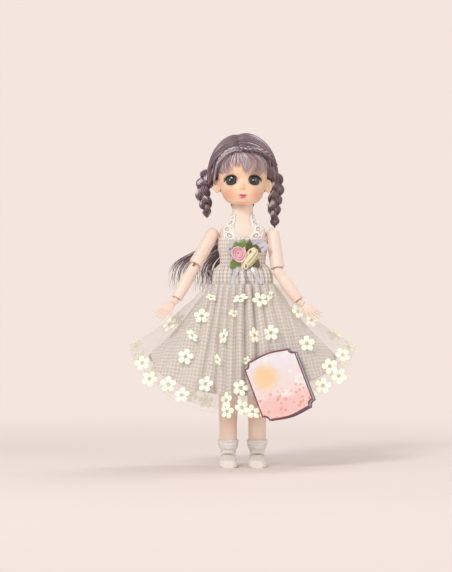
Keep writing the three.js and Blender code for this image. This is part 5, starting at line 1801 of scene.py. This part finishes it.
# %% Flowers in place
# Across and up from the middle of the doll's stance, and how wide the flower shows (1 is flat)
front_flowers = [
    (-65.5, 127.4, 1), (-36.5, 135.3, 0.9), (-50.9, 99, 1), (-89.6, 93, 1), (-83.8, 78.4, 1),
    (-66.2, 74.7, 1), (-54.2, 65.3, 0.9), (-32.9, 75.1, 1), (-14.5, 60.9, 1), (-1.4, 55.1, 1),
    (-14, 47.2, 0.9), (-2.1, 72, 1), (10, 118.4, 1), (25, 120.2, 1), (-17.3, 117.4, 0.55), (57, 110.8, 1),
    (70.9, 73.4, 1), (77.4, 90.5, 1), (89.2, 100.1, 1), (85.4, 81.9, 1), (15.1, 150, 0.9),
    (-2.3, 151.2, 0.5), (48.9, 138.8, 0.9), (61.3, 131.1, 0.8), (-22.1, 96.8, 0.5), (8.2, 51.3, 0.8),
    (20, 53, 1), (33, 56, 0.9), (46, 60, 1), (60, 66, 0.9), (38, 84, 0.9), (-28, 152, 0.4), (24, 153, 0.4),
    (-8, 138, 0.45), (-45, 118, 0.5), (3, 96, 0.5),
]
search_turn, search_down = np.meshgrid(np.linspace(-pi, 0, 900), np.linspace(0.02, 1, 240))
search = skirt_points(net_size, search_turn, search_down)
places = []
for x, z, width in front_flowers:
    miss = (search[..., 0] - x * mm) ** 2 + (search[..., 2] - z * mm) ** 2
    best = np.unravel_index(np.argmin(miss), miss.shape)
    places.append((search_turn[best], min(search_down[best], 0.965), width))
random = np.random.default_rng(17)
hem_count, scattered_count = 14, 12
for k in range(hem_count):
    places.append((
        pi * (k + 0.5 + random.uniform(-0.2, 0.2)) / hem_count, 0.94 + random.uniform(-0.03, 0.02), 1
    ))
for k in range(scattered_count):
    places.append((
        pi * (k + 0.5 + random.uniform(-0.4, 0.4)) / scattered_count,
        random.uniform(0.3, 0.8),
        random.choice([1, 0.9, 0.5]),
    ))
for side, name in halves:
    chosen = [p for p in places if side * cos(p[0]) > 0]
    turn = np.array([p[0] for p in chosen])
    down = np.array([p[1] for p in chosen])
    facing_out = skirt_normals(net_size, turn, down)
    at = skirt_points(net_size, turn, down) + facing_out * 0.25 * mm
    mesh = bpy.data.meshes.new("flower places")
    mesh.from_pydata(at.tolist(), [], [])
    spin = random.uniform(0, 2 * pi, len(chosen))
    heading = np.column_stack([np.cos(spin), np.zeros(len(chosen)), np.sin(spin)])
    stretch = np.column_stack([[p[2] for p in chosen], np.ones(len(chosen)), np.ones(len(chosen))])
    for label, values in (("facing", facing_out), ("heading", heading), ("stretch", stretch)):
        mark_points(mesh, label, values)
    sewn = new_object(f"net_flowers_{name}", mesh)
    run_tree(sewn, flower_tree, {"Flower": flower, "Size": 1.0, "Material": flower_felt})
    soft_edges(sewn, 60)
    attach(sewn, "torso")
    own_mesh(sewn)
    print(sewn.name, len(chosen), "flowers")
bpy.data.objects.remove(flower)
for made, name, flat in skirt_pieces:
    net = made.name.startswith("net")
    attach(made, "torso")
    if name == "right":
        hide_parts("skirt_tulle" if net else "skirt_lining")
    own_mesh(made)

# %% [markdown]
# ## Bodice
# The bodice is one strip of the same gingham, flat over the chest and shirred with elastic below, so
# that it puffs into a short basque over the skirt. The shirring is a row of fine upright pleats whose
# depth grows below the seam.

# %% Bodice
bodice_top, bodice_hem = 59.6, 18.5
flare_table = np.array([
    (0, 0.9), (0.06, 1.02), (0.15, 1.06), (0.28, 0.9), (0.36, 0.5), (0.44, 0.05), (0.56, 0.03), (0.78, 0.24),
    (1, 0),
])
seam_rise = 36.0
columns, rows = 480, 90
around = full_turn(columns)


def pleat_turn(rise, angles):
    """Runs through a full turn at each pleat."""
    return 30 * angles + 0.9 * np.sin(3 * angles) + 0.1 * rise


def bodice_lift(rise, angles):
    """How far the cloth stands off the body, in metres."""
    share = (rise - bodice_hem) / (bodice_top - bodice_hem)
    flare = 5.2 * table_at(flare_table, share)[0]
    below = within((seam_rise + 2 - rise) / 5)
    above = within((rise - seam_rise) / 14)
    swing = pleat_turn(rise, angles)
    pleat = 0.62 * below * (2 * np.abs(np.cos(swing / 2)) ** 0.8 - 1.2) + 0.2 * below * np.sin(2.3 * swing)
    pleat += 0.14 * (1 - above) * (1 - below) * np.sin(46 * angles)
    drape = 0.32 * np.sin(7 * angles + 0.15 * rise) * (0.3 + 0.7 * below)
    seam = -0.4 * math.exp(-(((rise - seam_rise) / 1.6) ** 2))
    band = 0.22 * math.exp(-(((rise - bodice_top + 1.6) / 1.4) ** 4))
    return (0.95 + flare + pleat + drape + seam + band) * mm


levels = np.linspace(bodice_hem, bodice_top, rows)
outer = np.array([torso_ring(r * mm, bodice_lift(r, around), around) for r in levels])
inner = np.array([torso_ring(r * mm, bodice_lift(r, around) - 0.5 * mm, around) for r in levels])
wave = -(0.5 + 0.5 * np.sin(13 * around + 0.6) ** 2 + 0.3 * np.sin(29 * around)) * mm
for layer in (outer, inner):
    layer[..., 2] += np.exp(-(levels[:, None] - bodice_hem) / 2.5) * wave
grid = np.concatenate([outer, inner[::-1], outer[:1]])
cloth_round_and_up = (0.1496, 0.042)
uv = np.stack(
    np.meshgrid(*(np.linspace(0, w, n) for w, n in zip(cloth_round_and_up, (columns + 1, rows)))), -1
)
bodice = grid_object("gingham_bodice", grid, np.concatenate([uv, uv[::-1], uv[:1]]), round_about=True)
below = within((seam_rise + 2 - levels) / 5)[:, None]
swing = pleat_turn(levels[:, None], around)
# Painted shade in the valleys of the shirred pleats below the seam.
painted_shade = below * within(1 - 2.2 * np.abs(np.cos(swing / 2))) * 0.7
mark_painted_shade(bodice, np.concatenate([painted_shade, painted_shade[::-1], painted_shade[:1]]))
outward(bodice)
dress(bodice, gingham, "torso", "gingham", "bodice")

# %% [markdown]
# ## Lace straps
# The halter straps are cotton lace: a close ground with small holes, round eyelets sewn on it one
# above the other, and a row of tiny loops along the outer edge.

# %% Lace cotton
lace_cotton = cloth_material("lace cotton", "#fffdf8", "#f5efe6", 3000, 0.05, place=object_place)
lace_ground = cloth_material("lace ground", "#fffaf3", "#f1e9df", 3000, 0.05)
tree = lace_ground.node_tree
shader = tree.nodes["Principled BSDF"]
place = uv_place(tree)
holes = add_node(tree, "ShaderNodeTexVoronoi", {"Vector": place, "Scale": 560, "Randomness": 0.2})
lace_alpha = ramp(tree, holes.outputs["Distance"], 0.19, 0.27)
strap_top = 80.0
inner_edge, outer_edge = (86, 52), (38, 22)


def strap_point(side, u, v, lift):
    rise = bodice_top - 1.5 + (strap_top - bodice_top + 1.5) * v
    start = inner_edge[0] + (inner_edge[1] - inner_edge[0]) * v
    end = outer_edge[0] + (outer_edge[1] - outer_edge[0]) * v
    angle = radians(start + (end - start) * u)
    half_x, half_y = (s + lift for s in torso_size(rise * mm))
    x = half_x * cos(angle) ** (2 / squareness)
    return np.array([side * x, -half_y * sin(angle) ** (2 / squareness), hip_height + rise * mm])


def strap_width(v):
    return float(np.linalg.norm(strap_point(1, 1, v, 0) - strap_point(1, 0, v, 0)))


strap_length = float(np.linalg.norm(strap_point(1, 0.5, 1, 0) - strap_point(1, 0.5, 0, 0)))
eyelets = [(0.13, 0.46, 2.9), (0.4, 0.52, 2.8), (0.66, 0.5, 2.3), (0.87, 0.5, 1.7)]
for v_mid, u_mid, size in eyelets:
    at = (u_mid * strap_width(v_mid), v_mid * strap_length, 0)
    away = vector_math(tree, "DISTANCE", {0: place, 1: at})["Value"]
    lace_alpha = times(tree, lace_alpha, ramp(tree, away, size * 0.8 * mm, size * 0.86 * mm))
set_inputs(shader, {"Alpha": lace_alpha})
for side, name in halves:
    locks = []
    lift = 1.1 * mm
    for v_mid, u_mid, size in eyelets:
        for share, radius, count in ((1.0, 0.68, 40), (0.2, 0.3, 20)):
            up, along = size * share * mm / strap_length, size * share * mm / strap_width(v_mid)
            a = np.linspace(0, 2 * pi, count)
            locks.append((
                np.array([strap_point(side, u_mid + along * cos(t), v_mid + up * sin(t), lift) for t in a]),
                radius * mm,
                0,
            ))
    for k in range(12):
        v_mid = (k + 0.5) / 12
        up, along = 1.0 * mm / strap_length, 1.1 * mm / strap_width(v_mid)
        a = np.linspace(0, 2 * pi, 17)
        locks.append((
            np.array([strap_point(side, 0.97 + along * cos(t), v_mid + up * sin(t), lift) for t in a]),
            0.26 * mm,
            0,
        ))
    for u in (0.02, 0.1, 0.9):
        line = np.array([strap_point(side, u + 0.015 * sin(60 * t), t, lift) for t in even(90)])
        locks.append((line, 0.3 * mm, 0))
    sheet_u, sheet_v = np.linspace(0.02, 0.95, 14), even(24)
    outer = np.array([[strap_point(side, u, v, 0.9 * mm) for u in sheet_u] for v in sheet_v])
    inner = np.array([[strap_point(side, u, v, 0.6 * mm) for u in sheet_u] for v in sheet_v])
    uv = np.array([[(u * strap_width(v), v * strap_length) for u in sheet_u] for v in sheet_v])
    ground = outward(sheet_object(f"lace_ground_{name}", outer, inner, uv))
    dress(ground, lace_ground, "torso", "lace")
    strap_width(0)
    (strap_width(0) + strap_width(1)) / 2 * strap_length
    strap = strands(f"lace_{name}", locks, lace_cotton, sides=8)
    dress(strap, lace_cotton, "torso", "lace", f"lace_strap_{name}")

# %% [markdown]
# ## Corsage
# The pink rose is a satin ribbon wound in a spiral whose free edge flares out, and the cream bud is
# wrapped lengthwise. Green ribbon leaves, silver loops and two tails lie behind them. Satin shines, so
# its roughness is low, and a fine weave breaks up the highlight.

# %% Satin
def satin_material(name, deep, pale, roughness=0.34, metal=0.0, hollow=None):
    made, tree, shader = new_material(name)
    place = object_place(tree)
    given = use_group(tree, weave_group, {"Place": place, "Threads per metre": 4200.0, "Slub": 0.4})
    soft = noise_at(tree, place, 160)
    tint = mix_colours(tree, soft, deep, pale)
    # Painted shade: where a piece marks it, the satin darkens towards the hollow colour in its folds.
    if hollow:
        painted_shade = marked(tree, "painted_shade")
        tint = mix_colours(tree, painted_shade, tint, hollow)
    add_relief(shader, given["Height"], 0.25, 0.05)
    set_inputs(shader, {"Base Color": tint, "Roughness": roughness, "Metallic": metal, "Sheen Weight": 0.25})
    return made


# The hollow colours are painted shade deep in the rose's spiral and along the bud's wraps.
pink_satin = satin_material("pink satin", "#f4bac7", "#fee6e9", hollow="#cf6f88")
# Painted shade for inside the bud's openings.
painted_bud_shade = satin_material("painted bud shade", "#6d4e1c", "#a98a4a", roughness=0.6)
cream_satin = satin_material("cream satin", "#efe0ae", "#fdf6dc", hollow="#bf9d58")
olive_satin = satin_material("olive satin", "#3d4423", "#6b6638")
green_satin = satin_material("green satin", "#4b682c", "#88a554")
silver_satin = satin_material("silver ribbon", "#a9a7b6", "#f4f3fa", 0.24, 0.35)
corsage_at = np.array([1 * mm, 0, hip_height + 44 * mm])
front_y = -(13.4 + 0.9 + 0.6) * mm


def ribbon_rose(name, centre, wide, tall, tilt, turns, material, node, slot):
    """A strip wound from the middle outwards, its outer edge leaning back like an opening petal."""
    steps = 220
    t = even(steps)
    angle = 2 * pi * turns * t
    radius = 0.14 + 0.86 * t**0.9
    waves = 1 + 0.07 * np.sin(2.6 * angle) * t
    across_ribbon = even(9)
    grid = []
    for u in across_ribbon:
        lean = 0.12 + 0.3 * t
        reach = radius * waves * (1 - 0.42 * (1 - u) + lean * 0.3 * u**2)
        depth = -(3.2 + 2.2 * (1 - t)) * u + 0.35 * np.sin(5 * angle) * u * t
        roll = 0.5 * within(u - 0.8) / 0.2
        grid.append(
            np.stack([reach * np.cos(angle) * wide, depth + roll * 1.0, reach * np.sin(angle) * tall], -1)
        )
    grid = np.array(grid)
    c, s = cos(tilt), sin(tilt)
    x, z = grid[..., 0] * c - grid[..., 2] * s, grid[..., 0] * s + grid[..., 2] * c
    points = np.stack([x, grid[..., 1], z], -1) * mm + centre
    made = grid_object(name, points)
    # Painted shade deep in the spiral, on the inner part of the ribbon and most at the middle.
    mark_painted_shade(made, within(1.15 - 1.3 * across_ribbon)[:, None] * (0.5 + 0.5 * (1 - t)))
    thickened(made, 0.3 * mm)
    p, q = np.meshgrid(np.linspace(0.05, pi / 2, 8), full_turn(32), indexing="ij")
    x = centre[0] + wide * 0.8 * mm * np.sin(p) * np.cos(q)
    z = centre[2] + tall * 0.8 * mm * np.sin(p) * np.sin(q)
    dome = closed_loft("rose middle", np.stack([x, centre[1] + 0.2 * mm - 2.6 * mm * np.cos(p), z], -1))
    made = joined_object(name, [made, dome])
    smooth(made)
    return dress(made, material, "torso", slot, node)


rose_y = front_y - 2.9 * mm
ribbon_rose(
    "pink_ribbon_rose", corsage_at + np.array([-4.8 * mm, rose_y, 1.0 * mm]), 6.7, 7.7, 0.2, 3.1, pink_satin,
    "rose_pink", "satin_pink",
)


def ribbon_bud(name, centre, half_wide, half_tall, tilt, material, node, slot):
    """A long bud: ribbon wrapped lengthwise in overlapping petals, with a rolled lip at two openings."""
    s, a = np.meshgrid(np.linspace(0.02, 0.98, 60), full_turn(240), indexing="ij")
    wrap = (a / (2 * pi) * 7 + 0.7 * s + 0.3) % 1
    round_off = np.sin(pi * s) ** 0.36 * (0.84 + 0.2 * s) * (0.66 + 0.4 * wrap**0.7)
    x, y = half_wide * round_off * np.cos(a), -4.6 * round_off * np.sin(a)
    z = half_tall * (2 * s - 1) + 0.8 * wrap
    turned = [x * cos(tilt) + z * sin(tilt), y, z * cos(tilt) - x * sin(tilt)]
    body = closed_loft(name, np.stack(turned, -1) * mm + centre)
    # Painted shade where each wrap tucks under the one before.
    mark_painted_shade(body, np.append(within(1 - wrap / 0.34), [0, 0]))
    pieces = [body]
    # Painted shade: a dark brown disc sits inside each opening, where the ribbon's inside lies in shadow.
    shade_discs = []
    for along, across, wide, tall in ((5.8, -2.7, 1.7, 2.4), (-6.6, 0.9, 1.4, 2.3)):
        spot_x, spot_z = across * cos(tilt) + along * sin(tilt), along * cos(tilt) - across * sin(tilt)
        angles = np.linspace(0, 2 * pi, 40)
        lip_x, lip_z = spot_x + wide * np.cos(angles), spot_z + tall * np.sin(angles)
        lip = np.column_stack([lip_x, -3.5 - 0.3 * np.sin(angles), lip_z]) * mm + centre
        pieces.append(strands("bud lip", [(lip, 0.62 * mm, 0)], material, sides=8))
        r, q = np.meshgrid([0.1, 0.5, 0.9], full_turn(24), indexing="ij")
        shade_disc = np.stack([spot_x + wide * r * np.cos(q), -4.3 + 0.7 * r, spot_z + tall * r * np.sin(q)], -1)
        shade_discs.append(closed_loft("bud heart", shade_disc * mm + centre))
    made = joined_object(name, pieces)
    smooth(made)
    dress(joined_object(name + "_hearts", shade_discs), painted_bud_shade, "torso", slot)
    return dress(made, material, "torso", slot, node)


ribbon_bud(
    "cream_ribbon_bud",
    corsage_at + np.array([4.8 * mm, rose_y + 1.2 * mm, -4.2 * mm]),
    5.9,
    11.2,
    0.6,
    cream_satin,
    "rose_cream",
    "satin_cream",
)


def ribbon_leaf(root, way, length, half, lift):
    """A pointed leaf of folded ribbon, cupped along its middle."""
    t, u = np.meshgrid(even(18), np.linspace(-1, 1, 9))
    wide = half * np.sin(pi * t**0.75) ** 0.8 * (1 - 0.15 * t)
    along = np.array([cos(way), 0, sin(way)])
    aside = np.array([-sin(way), 0, cos(way)])
    depth = -(lift + 1.0 * np.sin(pi * t) - 0.7 * np.abs(u) * np.sin(pi * t) + 0.12 * np.sin(9 * t + 3 * u))
    points = root + (along * (t * length)[..., None] + aside * (u * wide)[..., None]) * mm
    points[..., 1] += depth * mm
    made = grid_object("leaf", points)
    return thickened(made, 0.25 * mm)


leaf_root = corsage_at + np.array([0, front_y - 1.0 * mm, 0])
# Each leaf: its way in degrees, length, half width, and shift across and up, in millimetres
leaf_rows = {
    "ribbon_leaves": [(75, 11.5, 4.6, -3, 3), (222, 11.5, 4.6, -4, -4.5), (100, 9, 4, -6, 3)],
    "dark_leaves": [
        (82, 12, 4.2, 3.5, 2), (330, 10.5, 3.8, 6.5, 7.5), (275, 10.5, 3.9, 5, -8), (300, 9, 3.4, 9, -4)
    ],
}


def leaf_bunch(name, lift):
    leaves = []
    for degrees, length, half, shift_x, shift_z in leaf_rows[name]:
        root = leaf_root + np.array([shift_x, 0, shift_z]) * mm
        leaves.append(ribbon_leaf(root, radians(degrees), length, half, lift))
    return soft_edges(joined_object(name, leaves))


dress(leaf_bunch("ribbon_leaves", 0.6), green_satin, "torso", "satin_green", "rose_leaves")
dress(leaf_bunch("dark_leaves", 0.5), olive_satin, "torso", "satin_green")


def bodice_front(rise, lift):
    """The Y of points over the middle of the bodice's front, in metres."""
    angle = np.array([-pi / 2])
    return [-(torso_size(r * mm)[1] + float(bodice_lift(r, angle)[0]) + lift * mm) for r in rise]


def ribbon_path(points, half):
    """A flat ribbon that follows points, its width upright to its way in the XZ plane."""
    points = np.asarray(points, float)
    way = unit(np.gradient(points, axis=0))
    aside = unit(np.cross(way, np.array([0, -1, 0])))
    u = np.linspace(-1, 1, 5)
    grid = points[:, None, :] + aside[:, None, :] * (u[None, :, None] * np.asarray(half).reshape(-1, 1, 1))
    return thickened(grid_object("ribbon", grid), 0.25 * mm)


bow = []
for degrees, length, half in ((158, 16, 2.4), (132, 15, 2.2), (22, 22, 2.8), (36, 20, 2.4), (60, 13, 2.0)):
    way = radians(degrees)
    s = np.linspace(0, 2 * pi, 40)
    reach, swing = length / 2 * (1 - np.cos(s)), 3.8 * np.sin(s) * (0.6 - 0.4 * np.cos(s))
    x = reach * cos(way) - swing * sin(way)
    z = reach * sin(way) + swing * cos(way)
    loop = np.column_stack([x, -0.6 - 0.9 * np.sin(s / 2) - 0.15 * np.sin(s), z]) * mm
    bow.append(ribbon_path(loop + corsage_at + np.array([0, front_y, 0]), half / 2 * mm))
for degrees, length, half in ((247, 29, 1.9), (301, 30, 1.4)):
    way = radians(degrees)
    s = even(30)
    x = (1 + length * s * cos(way) + 0.7 * np.sin(7 * s)) * mm
    rise = 44 + length * s * sin(way)
    bow.append(ribbon_path(np.column_stack([x, bodice_front(rise, 0.6), hip_height + rise * mm]), half * mm))
silver = joined_object("silver_ribbon", bow)
dress(soft_edges(silver), silver_satin, "torso", "ribbon", "silver_bow")
cord_paths = []
for k in range(3):
    s = even(160)
    x = 0.5 + (7.5 - 2.6 * k) * s + 0.5 * np.sin(26 * s + 2.1 * k)
    rise = 33 - 18 * s
    cord_paths.append(np.column_stack([x * mm, bodice_front(rise, 0.9), hip_height + rise * mm]))
bead_radii = (0.2 + 0.22 * np.abs(np.sin(np.linspace(0, 22 * pi, 160)))) * mm
metal_thread = satin_material("metal thread", "#77757c", "#eeeef4", 0.25, 0.6)
cords = strands("silver_threads", [(path, bead_radii, 0) for path in cord_paths], metal_thread, sides=6)
dress(cords, metal_thread, "torso", "ribbon")
print("corsage leaves", sum(len(rows) for rows in leaf_rows.values()), "ribbons", len(bow))

# %% [markdown]
# ## Paper tag
# A folded card hangs in front of the skirt on a nylon tack. Its corners are scooped, its rim is
# printed maroon, and inside the rim is a plain painted landscape of soft shapes: a pale sky, rose
# clouds and blossoms that belong to nobody.

# %% Tag cards
card_half, card_points = (24, 28), 200
tag_turn = Matrix.Rotation(radians(-14), 4, "X") @ Matrix.Rotation(radians(-20), 4, "Y")
tag_at = Vector((31.5 * mm, -44.5 * mm, 75 * mm))


def card_outline(count):
    """Round the card from its lower left: straight sides, scooped corners, a slight crown above and below."""
    w, h = card_half
    scoop = 5.6
    points = []
    for sx, sz, first in ((1, -1, 180), (1, 1, 270), (-1, 1, 0), (-1, -1, 90)):
        for a in np.linspace(0, 90, 9):
            turn = radians(first - a)
            points.append((sx * w + scoop * cos(turn) * 0.92, sz * h + scoop * sin(turn) * 0.92))
    points = np.array(points)
    closed = np.vstack([points, points[:1]])
    reach = np.r_[0, np.cumsum(np.linalg.norm(np.diff(closed, axis=0), axis=1))]
    at = np.linspace(0, reach[-1], count, endpoint=False)
    outline = np.column_stack([np.interp(at, reach, closed[:, i]) for i in (0, 1)])
    bulge = within(np.cos(outline[:, 0] / (w - scoop) * pi / 2)) ** 1.4
    crown = 2.4 * bulge * (np.abs(outline[:, 1]) > h - 0.2)
    outline[:, 1] += np.sign(outline[:, 1]) * crown
    return outline


def card(name, depth, opening, grow, aside=0.0):
    """A printed card with its edge: rings from the middle out, over the rim and back to the middle."""
    outline = card_outline(card_points) * grow
    shares = list(np.linspace(0.03, 0.93, 16)) + [0.945, 0.955, 0.98, 0.995, 1.0]
    rings = []
    for way, r in [(-1, r) for r in shares] + [(1, r) for r in reversed(shares)]:
        depth_here = np.full(card_points, way * (0.25 if r < 1 else 0.17))
        rings.append(np.column_stack([outline[:, 0] * r, depth_here, outline[:, 1] * r]))
    rings = np.array(rings)
    reach = np.repeat(shares + shares[::-1], card_points)
    flat = np.column_stack([rings[..., [0, 2]].reshape(-1, 2), reach])
    angle = radians(opening)
    x = rings[..., 0] + card_half[0]
    bowed = rings[..., 1] + depth + x * sin(angle) + 0.5 * np.sin(x / 48 * pi)
    placed = np.stack([x * cos(angle) - card_half[0] + aside, bowed, rings[..., 2]], -1) * mm
    made = closed_loft(name, placed)
    mark_points(made.data, "flat_place", np.vstack([flat, np.zeros((2, 3))]))
    made.data.transform(Matrix.Translation(tag_at) @ tag_turn)
    return made


def print_material(name, rim, middle_colours, painted_inside):
    """Card stock with a printed rim. The picture inside is soft shapes of colour only."""
    made, tree, shader = new_material(name)
    flat = marked(tree, "flat_place", "Vector")
    split = axes_of(tree, flat)
    rim_mask = ramp(tree, split["Z"], 0.945, 0.955)
    height = ramp(tree, split["Y"], -28.0, 28.0)
    tint = mix_colours(tree, height, middle_colours[0], middle_colours[1])
    if painted_inside:
        clouds = noise_at(tree, flat, 0.09, 3, 1.2)
        tint = mix_colours(tree, ramp(tree, clouds, 0.45, 0.7), tint, "#f8f1ee")
        sun = vector_math(tree, "DISTANCE", {0: flat, 1: (-9.0, 10.0, 0)})["Value"]
        tint = mix_colours(tree, times(tree, ramp(tree, sun, 17.0, 5.0), 0.85), tint, "#f3cb92")
        hill = times(tree, calculate(tree, "SINE", times(tree, split["X"], 0.16)), 3.0)
        hill = calculate(tree, "ADD", split["Y"], hill)
        tint = mix_colours(tree, times(tree, ramp(tree, hill, -9.0, -13.0), 0.6), tint, "#efb9b3")
        blossoms = add_node(tree, "ShaderNodeTexVoronoi", {"Vector": flat, "Scale": 0.22, "Randomness": 0.9})
        blossom = blossoms.outputs["Distance"]
        bloom = times(tree, ramp(tree, blossom, 0.42, 0.2), ramp(tree, split["Y"], 2.0, -8.0))
        tint = mix_colours(tree, times(tree, bloom, 0.8), tint, "#e08f86")
        tint = mix_colours(tree, times(tree, ramp(tree, blossom, 0.14, 0.08), bloom), tint, "#fbeedd")
    tint = mix_colours(tree, rim_mask, tint, rim)
    add_relief(shader, noise_at(tree, object_place(tree), 900, 3), 0.2, 0.05)
    set_inputs(shader, {"Base Color": tint, "Roughness": 0.45})
    return made


front_print = print_material("front card print", "#7d3a45", ("#f4d2c8", "#ebe4ea"), True)
back_print = print_material("back card print", "#6f7f93", ("#eee6e4", "#f3eeee"), False)
front_card = card("card_front", -0.25, 0.0, 1.0)
back_card = card("card_back", 0.9, 5.0, 1.02, 2.2)
dress(soft_edges(front_card, 50), front_print, "torso", "card", "tag_front")
dress(soft_edges(back_card, 50), back_print, "torso", "card_back", "tag_back")
tack_nylon = plastic_material("tack nylon", "#ececee", "#dcdce0", soak=0.0)
only_material(frame["nodes"]["tag_tack"], tack_nylon)
print("tag vertices", len(front_card.data.vertices))

# %% [markdown]
# ## Floor and light
# The doll stands on a pale floor that fades, some way off, into a background of the same colour, so no
# edge shows from any side. A large soft lamp from the upper left gives the form, a weaker one fills
# the right side, and the world lights the rest evenly.

# %% Floor
pale = "#f4e5de"
floor_material, tree, shader = new_material("pale floor")
fleck = noise_at(tree, object_place(tree), 6)
set_inputs(shader, {"Base Color": mix_colours(tree, fleck, "#f3e4dd", "#f6e9e3"), "Roughness": 0.9})
away = vector_math(tree, "LENGTH", {0: object_place(tree)})["Value"]
seen = add_node(tree, "ShaderNodeLightPath").outputs["Is Camera Ray"]
fade = times(tree, ramp(tree, away, 0.2, 0.9), seen)
glow = add_node(tree, "ShaderNodeEmission", {"Color": pale, "Strength": 1.0})
mixed = add_node(tree, "ShaderNodeMixShader", {0: fade, 1: shader.outputs[0], 2: glow.outputs[0]})
set_inputs(tree.nodes["Material Output"], {"Surface": mixed.outputs[0]})
floor_reach = 4.0
ends = (-floor_reach, floor_reach)
floor = grid_object("floor", np.array([[(x, y, 0) for x in ends] for y in ends]))
floor.data.materials.append(floor_material)

# %% Lamps
def soft_lamp(name, place, target, power, size):
    data = bpy.data.lights.new(name, "AREA")
    data.shape = "DISK"
    data.energy = power
    data.size = size
    made = new_object(name, data)
    made.location = place
    made.rotation_euler = (Vector(target) - Vector(place)).to_track_quat("-Z", "Y").to_euler()


chest_at = (0, 0, 0.17)
soft_lamp("key lamp", (-0.9, -1.6, 1.5), chest_at, 22, 0.7)
soft_lamp("fill lamp", (1.4, -1.5, 0.6), chest_at, 6, 1.0)
soft_lamp("rim lamp", (0.5, 0.6, 1.3), chest_at, 4, 0.6)
world = bpy.data.worlds.new("studio")
world.use_nodes = True
world_tree = world.node_tree
sky = world_tree.nodes["Background"]
set_inputs(sky, {"Color": (1, 0.985, 0.97, 1), "Strength": 0.5})
path = add_node(world_tree, "ShaderNodeLightPath").outputs
shown = calculate(world_tree, "MAXIMUM", path["Is Camera Ray"], path["Is Glossy Ray"])
shown = calculate(world_tree, "MAXIMUM", shown, path["Is Transmission Ray"])
backdrop = add_node(world_tree, "ShaderNodeBackground", {"Color": pale})
chosen = add_node(world_tree, "ShaderNodeMixShader", {0: shown, 1: sky.outputs[0], 2: backdrop.outputs[0]})
set_inputs(world_tree.nodes["World Output"], {"Surface": chosen.outputs[0]})
bpy.context.scene.world = world
